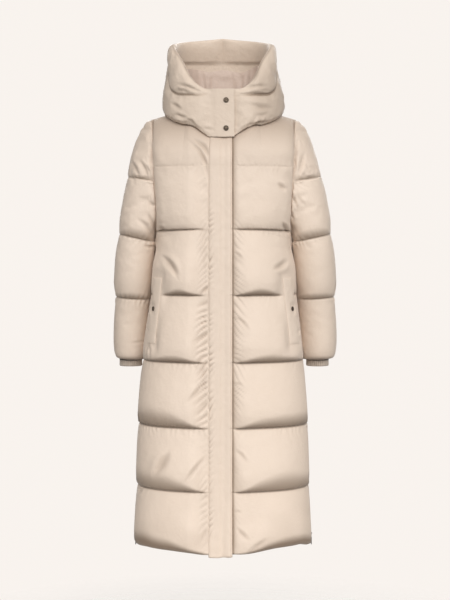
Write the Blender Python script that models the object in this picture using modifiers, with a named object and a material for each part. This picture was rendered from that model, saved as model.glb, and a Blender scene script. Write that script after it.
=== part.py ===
"""A long hooded puffer coat, closed at the front, empty and filled out as if worn.

Metres, +Z up. The coat faces -Y, and its wearer's right side is at -X. The origin lies in the middle of
the neck, at the height where the shoulder seams meet the neckline: there the wearer carries the coat.

Every piece is a wall between two grids of points. The inner grid is the plain lining side, and the outer
grid stands off it by the thickness of the down, which swells between the quilting seams.
"""

import math
from types import SimpleNamespace

import bmesh
import bpy
import numpy as np
from mathutils.bvhtree import BVHTree

# ---------------------------------------------------------------- driving sizes

SEAM_GAP = 0.0003  # between two pieces at a seam
SEAM_WALL = 0.004  # both cloths and the flattened down, at a stitched line
BODY_PUFF = 0.015  # what the down adds in the middle of a channel
SLEEVE_PUFF = 0.011
HOOD_PUFF = 0.013
COLLAR_PUFF = 0.006
SAG = 0.004  # how far a full channel hangs over its lower seam
SOFT_EDGE = 0.038  # a channel reaches its height this far from a vertical seam
NECK_SOFT_EDGE = 0.045
SIDE_MARGIN = 0.005  # flat strip along the side seams
HOLE_MARGIN = 0.009  # flat strip along the armholes
UNDERARM_DIP = 0.014  # the rows pass this far under the armpit
UNDERARM_OUT = 0.9

HEM_Z = -1.2045
HEM_DIP = 0.003  # the middle of the hem hangs lower than its sides
HEM_LIFT_LEFT = 0.012  # each front's hem is kicked up between its middle and its side
HEM_LIFT_RIGHT = 0.005
QUILT_Z = (HEM_Z, -1.039, -0.867, -0.690, -0.508, -0.330, -0.158)  # the body's stitched lines
SHOULDER_Z = -0.028
ARMPIT_Z = -0.345

FRONT_EDGE = 0.004  # from the centre line to each front's edge, where the zip lies
PLACKET_RIGHT = 0.040  # the placket's sewn edge, on the wearer's right
PLACKET_LEFT = 0.024  # its free edge
PLACKET_WALL = 0.0035
PLACKET_DROP = 0.007  # it hangs this far under the hem
WELT_WALL = 0.003
WELT_PUFF = 0.003
POCKET_FULL = 0.42  # how full the fronts are under the welts, across the stitched line there too
POWER_FRONT = 2.4  # roundness of the body's sections: 2 is an ellipse
POWER_BACK = 2.15

COLLAR_WALL = 0.005
COLLAR_GAP = 0.00045
COLLAR_HALF_WIDTH = 0.098
COLLAR_FRONT = 0.094
COLLAR_BACK = 0.082
COLLAR_TOP_FRONT = 0.043
COLLAR_TOP_BACK = 0.132
COLLAR_RISE = (15, 115)  # the angles between which its top edge climbs from the front to the back
COLLAR_BOW = 0.004
ZIP_TAPE = 0.007
ZIP_CHAIN = 0.0034
ZIP_FACE = 0.0018
ZIP_THICK = 0.0012
ZIP_BEHIND = 0.0012  # the tapes lie this far behind the lining's middle line

RIBS = 34
RIB_HEIGHT = 0.0012
CUFF_RADIUS = 0.0322
CUFF_BACK = 0.0015
CUFF_WALL = 0.0022
CUFF_TOP_Z = -0.674
CUFF_END_Z = -0.7165

PULL_LENGTH = 0.0325
PULL_WIDE = 0.0052
PULL_THICK = 0.0012
PULL_BAR = 0.0012  # height of the bar over the pull's window
WINDOW_WIDE = 0.0028
WINDOW_HIGH = 0.0056
SLIDER_Z = -1.184
SIDE_ZIP_ROWS = 8  # the side zips reach from the hem over this many rows of the panels
SIDE_ZIP_THICK = 0.0018
SLIDER_THICK = 0.0032
SLIDER_WIDE_TOP = 0.008
SLIDER_WIDE_FOOT = 0.0064
SLIDER_HIGH = 0.010
BRIDGE_OUT = 0.0026  # from the slider's face to the wire of its bridge
BRIDGE_SUNK = 0.0008  # how deep the wire's ends are in the slider
BRIDGE_WIRE = 0.0006  # its radius
BRIDGE_HALF_HEIGHT = 0.0034
BAR_OUT = 0.0010  # from the slider's face to the pull's bar, which lies behind that wire


class Table:
    """Rows with named columns, read at any value of the first column. It is smooth between its rows."""

    def __init__(self, columns, *rows):
        self.columns = columns
        self.rows = np.array(sorted(rows), float)
        step = np.diff(self.rows[:, 0])[:, None]
        slope = np.diff(self.rows[:, 1:], axis=0) / step
        both = slope[1:] * slope[:-1]
        total = np.where(both > 0, slope[1:] + slope[:-1], 1.0)
        inner = np.where(both > 0, 2 * both / total, 0.0)
        self.slopes = np.vstack([slope[:1], inner, slope[-1:]])

    def at(self, key):
        keys = self.rows[:, 0]
        key = min(max(key, keys[0]), keys[-1])
        i = min(max(int(np.searchsorted(keys, key)) - 1, 0), len(keys) - 2)
        step = keys[i + 1] - keys[i]
        t = (key - keys[i]) / step
        low, high = self.rows[i, 1:], self.rows[i + 1, 1:]
        values = (
            (1 + 2 * t) * (1 - t) ** 2 * low
            + t * (1 - t) ** 2 * step * self.slopes[i]
            + t * t * (3 - 2 * t) * high
            + t * t * (t - 1) * step * self.slopes[i + 1]
        )
        return SimpleNamespace(**dict(zip(self.columns[1:], values)))


# The body's lining side: half width, and depth in front of and behind the side seams.
BODY = Table(
    ("z", "half_width", "front", "back"),
    (-1.215, 0.238, 0.150, 0.160),
    (-1.039, 0.231, 0.146, 0.152),
    (-0.867, 0.227, 0.142, 0.146),
    (-0.690, 0.215, 0.138, 0.140),
    (-0.600, 0.205, 0.137, 0.134),
    (-0.508, 0.194, 0.136, 0.128),
    (-0.430, 0.189, 0.136, 0.126),
    (-0.375, 0.177, 0.135, 0.126),
    (-0.345, 0.174, 0.134, 0.126),
    (-0.240, 0.174, 0.131, 0.124),
    (-0.158, 0.174, 0.126, 0.118),
)

# How much less full the body is beside the sleeves that press on it.
BESIDE_SLEEVES = Table(
    ("z", "less"), (-0.760, 0.0), (-0.660, 0.45), (-0.460, 0.45), (-0.400, 0.30), (-0.300, 0.0)
)

# The armhole, seen from the side, is a rounded loop in a nearly upright plane.
ARMHOLE_TOP_X = 0.200
ARMHOLE_LOW_X = 0.174
ARMHOLE_HALF_DEPTH = 0.079
ARMHOLE_POWER = 2.2

# The neckline, by angle round the neck: 0 is the front and 90 the inner end of the shoulder seam.
NECK_HALF_WIDTH = 0.084
NECK_FRONT = 0.092
NECK_BACK = 0.068
NECK_POWER = 2.2
NECK_HEIGHT = Table(
    ("angle", "z"),
    (0, -0.070),
    (15, -0.066),
    (30, -0.053),
    (45, -0.035),
    (60, -0.018),
    (75, -0.006),
    (90, 0.0),
    (130, -0.006),
    (180, -0.012),
)

# The sleeve's lining side, a tube that hangs beside the body and drifts behind it.
SLEEVE = Table(
    ("z", "x", "y", "half_width", "half_depth"),
    (-0.028, 0.186, 0.006, 0.016, 0.078),
    (-0.036, 0.186, 0.006, 0.026, 0.078),
    (-0.052, 0.187, 0.006, 0.034, 0.079),
    (-0.095, 0.189, 0.006, 0.048, 0.080),
    (-0.137, 0.191, 0.006, 0.057, 0.080),
    (-0.176, 0.195, 0.007, 0.061, 0.080),
    (-0.220, 0.204, 0.008, 0.061, 0.078),
    (-0.285, 0.220, 0.010, 0.057, 0.072),
    (-0.345, 0.236, 0.012, 0.048, 0.066),
    (-0.395, 0.246, 0.017, 0.046, 0.063),
    (-0.460, 0.251, 0.030, 0.046, 0.060),
    (-0.517, 0.255, 0.046, 0.042, 0.057),
    (-0.617, 0.262, 0.065, 0.040, 0.050),
    (-0.665, 0.263, 0.071, 0.039, 0.046),
    (-0.684, 0.263, 0.072, 0.037, 0.041),
    (-0.692, 0.263, 0.072, 0.0345, 0.0345),
)
SLEEVE_POWER = 2.1
SLEEVE_BLEND_OUTSIDE = 0.075  # how fast the armhole's form turns into the tube's
SLEEVE_BLEND_INSIDE = 0.005
SLEEVE_INSIDE_FLAT = 0.55  # the side that presses on the body is this much less full
SLEEVE_OUT = {1: 0.009, -1: 0.0035}  # the left sleeve's outer side hangs further out than the right one's
SLEEVE_SPREAD = 0.7  # how much less of that its inner side does
# The sleeve's stitched lines slope a little, from the outer side down to the inner side.
SLEEVE_LINES = (
    SimpleNamespace(outer=-0.182, inner=-0.213),
    SimpleNamespace(outer=-0.341, inner=-0.361),
    SimpleNamespace(outer=-0.516, inner=-0.520),
    SimpleNamespace(outer=-0.692, inner=-0.692),
)

# The hood's lining side by height, and its three edges by angle round the neck.
HOOD = Table(
    ("z", "x", "half_width", "front", "back"),
    (-0.090, 0.0, 0.153, 0.1130, 0.124),
    (-0.050, 0.0, 0.154, 0.1125, 0.128),
    (0.000, 0.0, 0.153, 0.1120, 0.140),
    (0.045, -0.001, 0.150, 0.1120, 0.156),
    (0.100, -0.003, 0.141, 0.1110, 0.166),
    (0.150, -0.004, 0.135, 0.1090, 0.163),
    (0.200, -0.003, 0.131, 0.1060, 0.148),
    (0.225, -0.003, 0.129, 0.1040, 0.138),
)
HOOD_POWER = 2.3
HOOD_EDGES = Table(
    ("angle", "bottom", "seam", "rim"),
    (0, -0.082, 0.033, 0.047),
    (15, -0.080, 0.033, 0.048),
    (22, -0.078, 0.033, 0.057),
    (30, -0.072, 0.034, 0.074),
    (38, -0.064, 0.035, 0.096),
    (46, -0.054, 0.037, 0.122),
    (60, -0.034, 0.052, 0.149),
    (75, -0.020, 0.100, 0.169),
    (90, -0.018, 0.134, 0.185),
    (110, -0.020, 0.142, 0.197),
    (140, -0.032, 0.150, 0.211),
    (180, -0.046, 0.156, 0.223),
)
# Angles of the columns in the two overlapping ends. The right half's edge passes the centre line.
THROAT_RIGHT = (-8.4, -4.5, 1.6, 5.0, 10.0)
THROAT_LEFT = (-3.2, 3.0, 9.0)
THROAT_LAP = 0.0056  # the right half stands off this far, to lie on the left one
HOOD_OVER_BODY = 0.0022  # the hood's lower side passes this far over the body
HOOD_UNDER_WALL = 0.004
HOOD_FOOT = 0.009  # from the neck seam's outer corner to the hood's foot, past the collar's
HOOD_BRIM_INSIDE = 0.009  # how far the brim's down swells inwards
HOOD_FLAT_END = 11  # degrees from the centre line that are not filled
HOOD_SOFT_EDGE = 17  # degrees over which the down then reaches its height
HOOD_ENDS_HANG = 29  # degrees from the centre line within which the front ends hang free
HOOD_REACH = 0.008  # how far round a place the body under it is felt for
# The same for the foot of the hood, which lies on the neck seam.
HOOD_FOOT_REACH = Table(
    ("angle", "reach"), (0, 0.0025), (80, 0.0025), (95, 0.0045), (145, 0.0045), (165, 0.0015)
)
HOOD_UNDER_ROWS = (0.0, 0.3, 0.65)
HOOD_BAND_ROWS = ((0.10, 0.75), (0.32, 0.99), (0.60, 0.88), (0.88, 0.45), (1.0, 0.0))  # share and height
HOOD_BRIM_ROWS = (0.15, 0.45, 0.75, 0.95, 1.0)
HOOD_TURNS = (16, 24, 32, 41, 52, 63, 74, 86, 98, 112, 128, 145, 163, 173)

# Height of a channel, from its lower stitched line to its upper one: the down hangs low in it.
CHANNEL = Table(
    ("share", "height"), (0, 0), (0.07, 0.62), (0.28, 1.0), (0.55, 0.92), (0.85, 0.55), (1, 0)
)
CHANNEL_ROWS = (0.0, 0.07, 0.28, 0.55, 0.85)

# The front's columns beyond the placket, and where each ends: on the neckline or on the shoulder seam.
# Those of the pocket lean outwards beside it.
FRONT_COLUMNS = (
    SimpleNamespace(share=0.05, neck=0.13, shoulder=None, pocket=False),
    SimpleNamespace(share=0.19, neck=0.48, shoulder=None, pocket=False),
    SimpleNamespace(share=0.31, neck=0.78, shoulder=None, pocket=False),
    SimpleNamespace(share=0.44, neck=1.0, shoulder=0.0, pocket=False),
    SimpleNamespace(share=0.50, neck=None, shoulder=0.11, pocket=True),
    SimpleNamespace(share=0.575, neck=None, shoulder=0.24, pocket=True),
    SimpleNamespace(share=0.65, neck=None, shoulder=0.38, pocket=True),
    SimpleNamespace(share=0.82, neck=None, shoulder=0.72, pocket=False),
)
POCKET_LEAN = Table(("z", "share"), (-0.90, 0.0), (-0.639, 0.085), (-0.458, 0.045), (-0.30, 0.0))
WELT_ROWS = slice(17, 23)
WELT_COLUMNS = slice(6, 9)
SNAP_CORNERS = (1, 2, 2), (1, 2, 1)  # rows and columns of the welt's facet that carries the snap
SNAP_SHARES = (0.2, 0.4, 0.4)
BACK_COLUMNS = (
    SimpleNamespace(share=0.0, neck=0.0, shoulder=None),
    SimpleNamespace(share=0.15, neck=0.33, shoulder=None),
    SimpleNamespace(share=0.30, neck=0.66, shoulder=None),
    SimpleNamespace(share=0.45, neck=1.0, shoulder=0.0),
    SimpleNamespace(share=0.64, neck=None, shoulder=0.35),
    SimpleNamespace(share=0.82, neck=None, shoulder=0.70),
)
ROLL_ROWS = (0.15, 0.35, 0.60, 0.85, 1.0)  # shares of the top channel, up to the neck and shoulder
ROLL_AT_NECK_FRONT = 55  # degrees that the cloth has turned inwards where it meets the neckline
ROLL_AT_NECK_BACK = 64
ROLL_AT_SHOULDER = 66

# The largest folds of the body, as soft troughs. side is -1 for the wearer's right.
FOLDS = (
    SimpleNamespace(side=-1, x=0.170, z=-0.985, lean=-38, length=0.085, width=0.016, depth=0.008),
    SimpleNamespace(side=-1, x=0.150, z=-0.420, lean=42, length=0.060, width=0.014, depth=0.009),
    SimpleNamespace(side=1, x=0.165, z=-0.425, lean=-62, length=0.050, width=0.014, depth=0.008),
    SimpleNamespace(side=1, x=0.062, z=-1.165, lean=-42, length=0.070, width=0.013, depth=0.007),
    SimpleNamespace(side=-1, x=0.075, z=-0.125, lean=35, length=0.080, width=0.014, depth=0.006),
)

COLOURS = {
    "shell": ((0.78, 0.67, 0.55), 0.45, 0.0),
    "knit": ((0.62, 0.53, 0.44), 0.85, 0.0),
    "zip": ((0.55, 0.47, 0.38), 0.60, 0.0),
    "metal": ((0.16, 0.12, 0.09), 0.35, 0.9),
}


# ---------------------------------------------------------------- small tools


def signed_power(value, power):
    return math.copysign(abs(value) ** power, value)


def unit(vector):
    vector = np.asarray(vector, float)
    return vector / max(float(np.linalg.norm(vector)), 1e-12)


def smooth(value, low, high):
    """0 below low, 1 above high, and smooth between."""
    t = min(max((value - low) / (high - low), 0.0), 1.0)
    return t * t * (3 - 2 * t)


def soft_rise(distance, reach=SOFT_EDGE):
    """How full the down is at a distance from a seam: a quarter circle, then level."""
    t = min(max(distance / reach, 0.0), 1.0)
    return math.sqrt(1 - (1 - t) ** 2)


def ring(angle, half_width, front, back, power):
    """A point of a rounded closed section: angle 0 is the front and 90 degrees is +X."""
    s, c = math.sin(math.radians(angle)), math.cos(math.radians(angle))
    depth = front if c > 0 else back
    return half_width * signed_power(s, 2 / power), -depth * signed_power(c, 2 / power)


def along(line, distances):
    """Points at these distances along a polyline."""
    line = np.asarray(line, float)
    lengths = np.concatenate([[0], np.cumsum(np.linalg.norm(np.diff(line, axis=0), axis=1))])
    return np.stack([np.interp(distances, lengths, line[:, k]) for k in range(3)], axis=1), lengths[-1]


def grid_normals(points):
    """Unit normals of a grid, pointing away from the axis of the body."""
    down_columns = np.gradient(points, axis=0)
    along_rows = np.gradient(points, axis=1)
    normals = np.cross(along_rows, down_columns)
    normals /= np.maximum(np.linalg.norm(normals, axis=2, keepdims=True), 1e-12)
    outwards = points * np.array([1, 1, 0]) + np.array([0, 0, 0.02])
    turn = np.sign(np.sum(normals * outwards, axis=(0, 1, 2)))
    return normals * turn


def material(name):
    found = bpy.data.materials.get(name)
    if found:
        return found
    colour, roughness, metallic = COLOURS[name]
    made = bpy.data.materials.new(name)
    made.use_nodes = True
    shader = made.node_tree.nodes["Principled BSDF"]
    shader.inputs["Base Color"].default_value = (*colour, 1)
    shader.inputs["Roughness"].default_value = roughness
    shader.inputs["Metallic"].default_value = metallic
    return made


def add_object(name, mesh, finish, smooth_angle=50):
    mesh.shade_smooth()
    mesh.set_sharp_from_angle(angle=math.radians(smooth_angle))
    mesh.materials.append(material(finish))
    made = bpy.data.objects.new(name, mesh)
    COAT.objects.link(made)
    return made


def closed_mesh(name, bm):
    bmesh.ops.remove_doubles(bm, verts=bm.verts, dist=1e-5)
    bmesh.ops.dissolve_degenerate(bm, edges=bm.edges, dist=1e-6)
    bmesh.ops.recalc_face_normals(bm, faces=bm.faces)
    mesh = bpy.data.meshes.new(name)
    bm.to_mesh(mesh)
    bm.free()
    return mesh


def wall(name, inner, outer, finish, closed=False, mirrored=()):
    """A solid between two grids of points with the same rows and columns.

    Each cell is two triangles. In the columns named by mirrored the diagonal runs the other way, so that a
    piece which lies on another one, or meets it at a seam, has the same facets.
    """
    inner, outer = np.asarray(inner, float), np.asarray(outer, float)
    rows, columns = inner.shape[:2]
    bm = bmesh.new()
    sides = [[[bm.verts.new(p) for p in row] for row in grid] for grid in (inner, outer)]
    cells = columns if closed else columns - 1

    def add(*corners):
        if len(set(corners)) == len(corners):
            bm.faces.new(corners)

    for i in range(rows - 1):
        for j in range(cells):
            k = (j + 1) % columns
            for side in sides:
                a, b, c, d = side[i][j], side[i][k], side[i + 1][k], side[i + 1][j]
                if j in mirrored:
                    add(a, b, d)
                    add(b, c, d)
                else:
                    add(a, b, c)
                    add(a, c, d)
    low, high = sides
    for i in (0, rows - 1):
        for j in range(cells):
            k = (j + 1) % columns
            if j in mirrored:
                add(low[i][j], low[i][k], high[i][j])
                add(low[i][k], high[i][k], high[i][j])
            else:
                add(low[i][j], low[i][k], high[i][k])
                add(low[i][j], high[i][k], high[i][j])
    for j in () if closed else (0, columns - 1):
        for i in range(rows - 1):
            add(low[i][j], low[i + 1][j], high[i + 1][j])
            add(low[i][j], high[i + 1][j], high[i][j])
    return add_object(name, closed_mesh(name, bm), finish)


def sweep(name, sections, finish):
    """A bar through a row of like polygons, closed at both ends."""
    bm = bmesh.new()
    loops = [[bm.verts.new(p) for p in section] for section in sections]
    for first, second in zip(loops, loops[1:]):
        for j in range(len(first)):
            k = (j + 1) % len(first)
            bm.faces.new((first[j], first[k], second[k], second[j]))
    bm.faces.new(loops[0])
    bm.faces.new(loops[-1])
    return add_object(name, closed_mesh(name, bm), finish)


def flipped(points, side):
    """The same points at the side wanted: 1 keeps them at +X, and -1 mirrors them."""
    return np.asarray(points, float) * np.array([side, 1, 1])


# ---------------------------------------------------------------- neckline and armhole


def neck_point(angle):
    x, y = ring(angle, NECK_HALF_WIDTH, NECK_FRONT, NECK_BACK, NECK_POWER)
    return np.array([x, y, NECK_HEIGHT.at(abs(angle)).z])


def neck_out(angle):
    """The way the neck seam's thickness points: halfway between outwards and up."""
    ahead, behind = neck_point(angle + 0.5), neck_point(angle - 0.5)
    tangent = ahead - behind
    level = unit([-tangent[1], tangent[0], 0])
    level *= np.sign(level @ neck_point(angle))
    return unit(level + [0, 0, 1]), level


def armhole(angle):
    """A point of the armhole and the way its seam's thickness points. Angle 0 is the armpit, 90 the front.

    That way lies in the armhole's plane, except under the arm, where it turns outwards.
    """
    s, c = math.sin(math.radians(angle)), math.cos(math.radians(angle))
    rise, out = -signed_power(c, 2 / ARMHOLE_POWER), signed_power(s, 2 / ARMHOLE_POWER)
    half_height = (SHOULDER_Z - ARMPIT_Z) / 2
    lean = (ARMHOLE_TOP_X - ARMHOLE_LOW_X) / (SHOULDER_Z - ARMPIT_Z)
    z = ARMPIT_Z + half_height * (rise + 1)
    point = [ARMHOLE_LOW_X + lean * (z - ARMPIT_Z), -ARMHOLE_HALF_DEPTH * out, z]
    away_y = -signed_power(out, ARMHOLE_POWER - 1) / ARMHOLE_HALF_DEPTH
    away_z = signed_power(rise, ARMHOLE_POWER - 1) / half_height
    away = unit([0, away_y, away_z])
    return np.array(point), unit(away + [lean * away[2] + UNDERARM_OUT * smooth(-rise, 0.2, 1.0), 0, 0])


def armhole_angle(z, back):
    """The angle at which the armhole passes a height, on its front or its back."""
    half_height = (SHOULDER_Z - ARMPIT_Z) / 2
    rise = min(max((z - ARMPIT_Z) / half_height - 1, -1), 1)
    angle = math.degrees(math.acos(-signed_power(rise, ARMHOLE_POWER / 2)))
    return 360 - angle if back else angle


def armhole_stops():
    """The angles where the panels' rows meet the armhole, from the armpit up to the shoulder."""
    heights = [row.z for row in body_rows() if row.z > ARMPIT_Z] + [QUILT_Z[-1]]
    low = armhole_angle(QUILT_Z[-1], False)
    rolled = [low + (180 - low) * share for share in ROLL_ROWS]
    return [0.0] + [armhole_angle(z, False) for z in heights] + rolled


def body_rows():
    """The heights of the body's rows below its top channel, and how full a row is."""
    rows = []
    for low, high in zip(QUILT_Z, QUILT_Z[1:]):
        for share in CHANNEL_ROWS:
            z = low + (high - low) * share
            z = ARMPIT_Z if abs(z - ARMPIT_Z) < 0.012 else z
            rows.append(SimpleNamespace(z=z, share=share, height=CHANNEL.at(share).height, hem=low == HEM_Z))
    return rows


# ---------------------------------------------------------------- body panels


def section_line(z, back):
    """Half a section of the body, from its centre line round to the side seam or the armhole, at +X."""
    body = BODY.at(z)
    power = POWER_BACK if back else POWER_FRONT
    depth = body.back if back else body.front
    half_width, end = body.half_width, 90
    if z > ARMPIT_Z:
        edge = armhole(armhole_angle(z, back))[0]
        half_width = edge[0] / (1 - (abs(edge[1]) / depth) ** power) ** (1 / power)
        end = math.degrees(math.asin((edge[0] / half_width) ** (power / 2)))
    points = []
    for angle in np.linspace(0, end, 60):
        x, y = ring(angle, half_width, depth, depth, power)
        points.append([x, -y if back else y, z])
    return points


def shape_hem(points, share, lift):
    """Lowers the middle of the hem and lifts it beside that, and less of the rows above it."""
    for point in points:
        across = point[0] / points[-1, 0]
        kick = lift * smooth(across, 0.2, 0.65) * (1 - smooth(across, 0.85, 1.0))
        point[2] += (kick - HEM_DIP * (1 - across**2)) * (1 - share)


def top_ends(columns, start_distances, back):
    """Where the columns end, on the neckline and then on the shoulder seam, and how far each has turned."""
    angles = np.linspace(180, 90, 40) if back else np.linspace(0, 90, 40)
    neckline = [neck_point(a) for a in angles]
    length = along(neckline, [0])[1]
    first = start_distances[-1] if start_distances else 0
    wanted = list(start_distances)
    wanted += [first + c.neck * (length - first) for c in columns if c.neck is not None]
    ends = list(along(neckline, wanted)[0])
    inner, outer = neck_point(90), armhole(180)[0]
    for column in columns:
        if column.neck is None:
            ends.append(inner + (outer - inner) * column.shoulder)
    at_neck = ROLL_AT_NECK_BACK if back else ROLL_AT_NECK_FRONT
    turns = [at_neck + (ROLL_AT_SHOULDER - at_neck) * smooth(p[0], 0.02, NECK_HALF_WIDTH) for p in ends]
    return ends, turns


def neck_distance(point, back):
    angles = np.linspace(90, 180, 31) if back else np.linspace(0, 90, 31)
    return min(np.linalg.norm(neck_point(a) - point) for a in angles)


def neck_angle_of(point, back):
    """The angle round the neck of a point on the neckline."""
    angles = np.linspace(90, 180, 91) if back else np.linspace(0, 90, 91)
    return angles[int(np.argmin([np.linalg.norm(neck_point(a) - point) for a in angles]))]


def body_half(back, placket, lift=0.0):
    """Half a body panel at +X: rows from the hem up, columns from the centre out.

    It gives the lining points, the way the thickness points, and how full each point is.
    """
    columns = BACK_COLUMNS if back else FRONT_COLUMNS
    starts = [] if back else [FRONT_EDGE, placket]
    base = starts[-1] if starts else 0.0
    rows, fullness = [], []

    def fill(distances, length, margin, height):
        row = []
        for d in distances:
            inner_side = 1.0 if back else soft_rise(d - base - 0.002)
            row.append(height * inner_side * soft_rise(length - margin - d))
        return row

    def row_at(z, margin):
        line = section_line(z, back)
        length = along(line, [0])[1]
        lean = POCKET_LEAN.at(z).share
        shares = [c.share if back or not c.pocket else c.share + lean for c in columns]
        distances = starts + [base + share * (length - base) for share in shares]
        distances += [length - margin, length]
        return along(line, distances)[0], distances, length

    for row in body_rows():
        margin = HOLE_MARGIN if row.z > ARMPIT_Z - 0.001 else SIDE_MARGIN
        points, distances, length = row_at(row.z, margin)
        if row.hem:
            shape_hem(points, row.share, lift)
        if row.z == ARMPIT_Z:
            under = np.array([smooth(d, length - 0.13, length - 0.03) for d in distances])
            under[-1] = 0
            points[:, 2] -= UNDERARM_DIP * under
        less = BESIDE_SLEEVES.at(row.z).less
        near_side = np.array([smooth(d, length - 0.09, length - 0.02) for d in distances])
        rows.append(points)
        fullness.append(np.array(fill(distances, length, margin, row.height)) * (1 - less * near_side))
    if not back:
        for row in fullness[WELT_ROWS]:
            row[WELT_COLUMNS] = POCKET_FULL
    points, distances, length = row_at(QUILT_Z[-1], HOLE_MARGIN)
    rows.append(points)
    fullness.append([0.0] * len(points))

    ends, turns = top_ends(columns, starts, back)
    side_end = ends[-1] + (armhole(180)[0] - ends[-1]) * 0.86
    ends += [side_end, armhole(180)[0]]
    turns += [ROLL_AT_SHOULDER] * 2
    low_angle = armhole_angle(QUILT_Z[-1], back)
    for share in ROLL_ROWS:
        row = []
        for start, end, turn in zip(points, ends, turns):
            angle = math.radians(turn * share)
            full = math.radians(turn)
            rise = math.sin(angle) / math.sin(full)
            run = (1 - math.cos(angle)) / (1 - math.cos(full))
            row.append(start + (end - start) * [share, run, rise])
        row[-1] = armhole(low_angle + (180 - low_angle) * share)[0]
        row = np.array(row)
        near_neck = [smooth(neck_distance(p, back), 0.0, NECK_SOFT_EDGE) for p in row]
        rows.append(row)
        height = CHANNEL.at(share).height
        fullness.append(np.array(fill(distances, length, HOLE_MARGIN, height)) * near_neck)

    grid = np.array(rows)
    ways = grid_normals(grid)
    ways[0, :, 2] = 0
    ways[:, 0, 0] = 0
    side = 1 if back else -1
    for i, row in enumerate(grid):
        if row[-1][2] < ARMPIT_Z - 1e-6:
            ways[i, -1] = (1, 0, 0)
            grid[i, -1, 1] += side * SEAM_GAP / 2
        else:
            ways[i, -1] = armhole(armhole_angle(row[-1][2], back))[1]
            grid[i, -1, 0] -= SEAM_GAP / 2
            if row[-1][2] < ARMPIT_Z + 1e-6:
                grid[i, -1, 1] += side * SEAM_GAP / 2
    for j, point in enumerate(grid[-1]):
        on_neck = point[0] <= NECK_HALF_WIDTH + 1e-6
        ways[-1, j] = neck_out(neck_angle_of(point, back))[0] if on_neck else (0, 0, 1)
        if point[0] >= NECK_HALF_WIDTH - 1e-6:
            grid[-1, j, 1] += side * SEAM_GAP / 2
    ways /= np.linalg.norm(ways, axis=2, keepdims=True)
    return grid, ways, np.array(fullness)


def fold_depth(point, side):
    """How deep the body's large folds are at a point."""
    depth = 0.0
    for fold in FOLDS:
        if fold.side != side:
            continue
        lean = math.radians(fold.lean)
        dx, dz = point[0] - fold.x, point[2] - fold.z
        run = dx * math.sin(lean) + dz * math.cos(lean)
        across = dx * math.cos(lean) - dz * math.sin(lean)
        depth += fold.depth * math.exp(-((across / fold.width) ** 2) - (2 * run / fold.length) ** 2)
    return depth


def outer_side(grid, ways, fullness, puff, side=1, folded=False):
    """The shell's points: the lining's, moved out by the wall and by the down."""
    out = np.array(grid)
    for i in range(grid.shape[0]):
        for j in range(grid.shape[1]):
            full = fullness[i, j]
            swell = puff * full
            if folded and full > 0:
                swell = max(swell - fold_depth(grid[i, j], side), 0.0)
            out[i, j] = grid[i, j] + ways[i, j] * (SEAM_WALL + swell)
            out[i, j, 2] -= SAG * full
    return out


def make_back():
    grid, ways, fullness = body_half(back=True, placket=0)
    outer = outer_side(grid, ways, fullness, BODY_PUFF)
    both = [np.concatenate([flipped(g[:, :0:-1], -1), g], axis=1) for g in (grid, outer)]
    half = grid.shape[1] - 1
    wall("back", *both, "shell", mirrored=range(half))
    return SimpleNamespace(lining=grid, shell=outer, ways=ways)


def make_front(name, side, placket, lift):
    """One front. It gives back the shell's points at +X, for what is sewn on it."""
    grid, ways, fullness = body_half(back=False, placket=placket, lift=lift)
    outer = outer_side(grid, ways, fullness, BODY_PUFF, side, folded=True)
    wall(name, flipped(grid, side), flipped(outer, side), "shell")
    return SimpleNamespace(lining=grid, shell=outer, ways=ways)


def moved_out(points, ways, distance):
    return np.asarray(points) + np.asarray(ways) * distance


def make_placket(right, left):
    """The flap that covers the zip: sewn to the right front, and free at its left edge."""
    ways = np.concatenate([flipped(right.ways[:, 1::-1], -1), left.ways[:, :2]], axis=1)
    shell = np.concatenate([flipped(right.shell[:, 1::-1], -1), left.shell[:, :2]], axis=1)
    inner = moved_out(shell, ways, SEAM_GAP)
    outer = moved_out(inner, ways, PLACKET_WALL)
    for grid in (inner, outer):
        grid[0, :, 2] -= PLACKET_DROP
    wall("placket", inner, outer, "shell", mirrored=(0,))


def make_welt(name, front, side):
    """The padded strip that covers a pocket's mouth, with its free edge at the side.

    It gives the place of the snap on one of its facets, and the way that facet looks.
    """
    ways = front.ways[WELT_ROWS, WELT_COLUMNS]
    inner = moved_out(front.shell[WELT_ROWS, WELT_COLUMNS], ways, SEAM_GAP)
    swell = np.zeros(inner.shape[:2])
    swell[1:-1, 1:-1] = WELT_PUFF
    outer = inner + ways * (WELT_WALL + swell)[:, :, None]
    wall(name, flipped(inner, side), flipped(outer, side), "shell")
    corners = flipped(outer[SNAP_CORNERS], side)
    out = unit(np.cross(corners[1] - corners[0], corners[2] - corners[0]))
    return np.array(SNAP_SHARES) @ corners, out * np.sign(out[0] * side)


# ---------------------------------------------------------------- collar, zip and hood


def neck_seam(right, left, back):
    """The panels' own corners round the neck, by angle: what is sewn on there starts from them."""
    corners = []
    for panel, side in ((right, -1), (left, 1), (back, -1), (back, 1)):
        for lining, shell in zip(panel.lining[-1], panel.shell[-1]):
            if lining[0] > NECK_HALF_WIDTH + 1e-6 or (panel is back and lining[0] > NECK_HALF_WIDTH - 1e-6):
                continue
            angle = side * neck_angle_of(lining, panel is back)
            if abs(angle) < 179.9 or side > 0:
                corners.append((angle, *flipped(lining, side), *flipped(shell, side)))
    table = np.array(sorted(corners))
    first = np.array([-180.0, *table[-1, 1:]])
    return np.vstack([first, table])


def on_neck(seam, angle):
    """The lining and the shell corner of the neck seam at an angle, on the straight runs between corners."""
    values = [np.interp(angle, seam[:, 0], seam[:, k]) for k in range(1, 7)]
    return np.array(values[:3]), np.array(values[3:])


def with_stops(regular, stops, apart):
    """The regular values that lie apart from every stop, and the stops."""
    kept = [value for value in regular if min(abs(value - stop) for stop in stops) > apart]
    return sorted(kept + list(stops))


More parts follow.
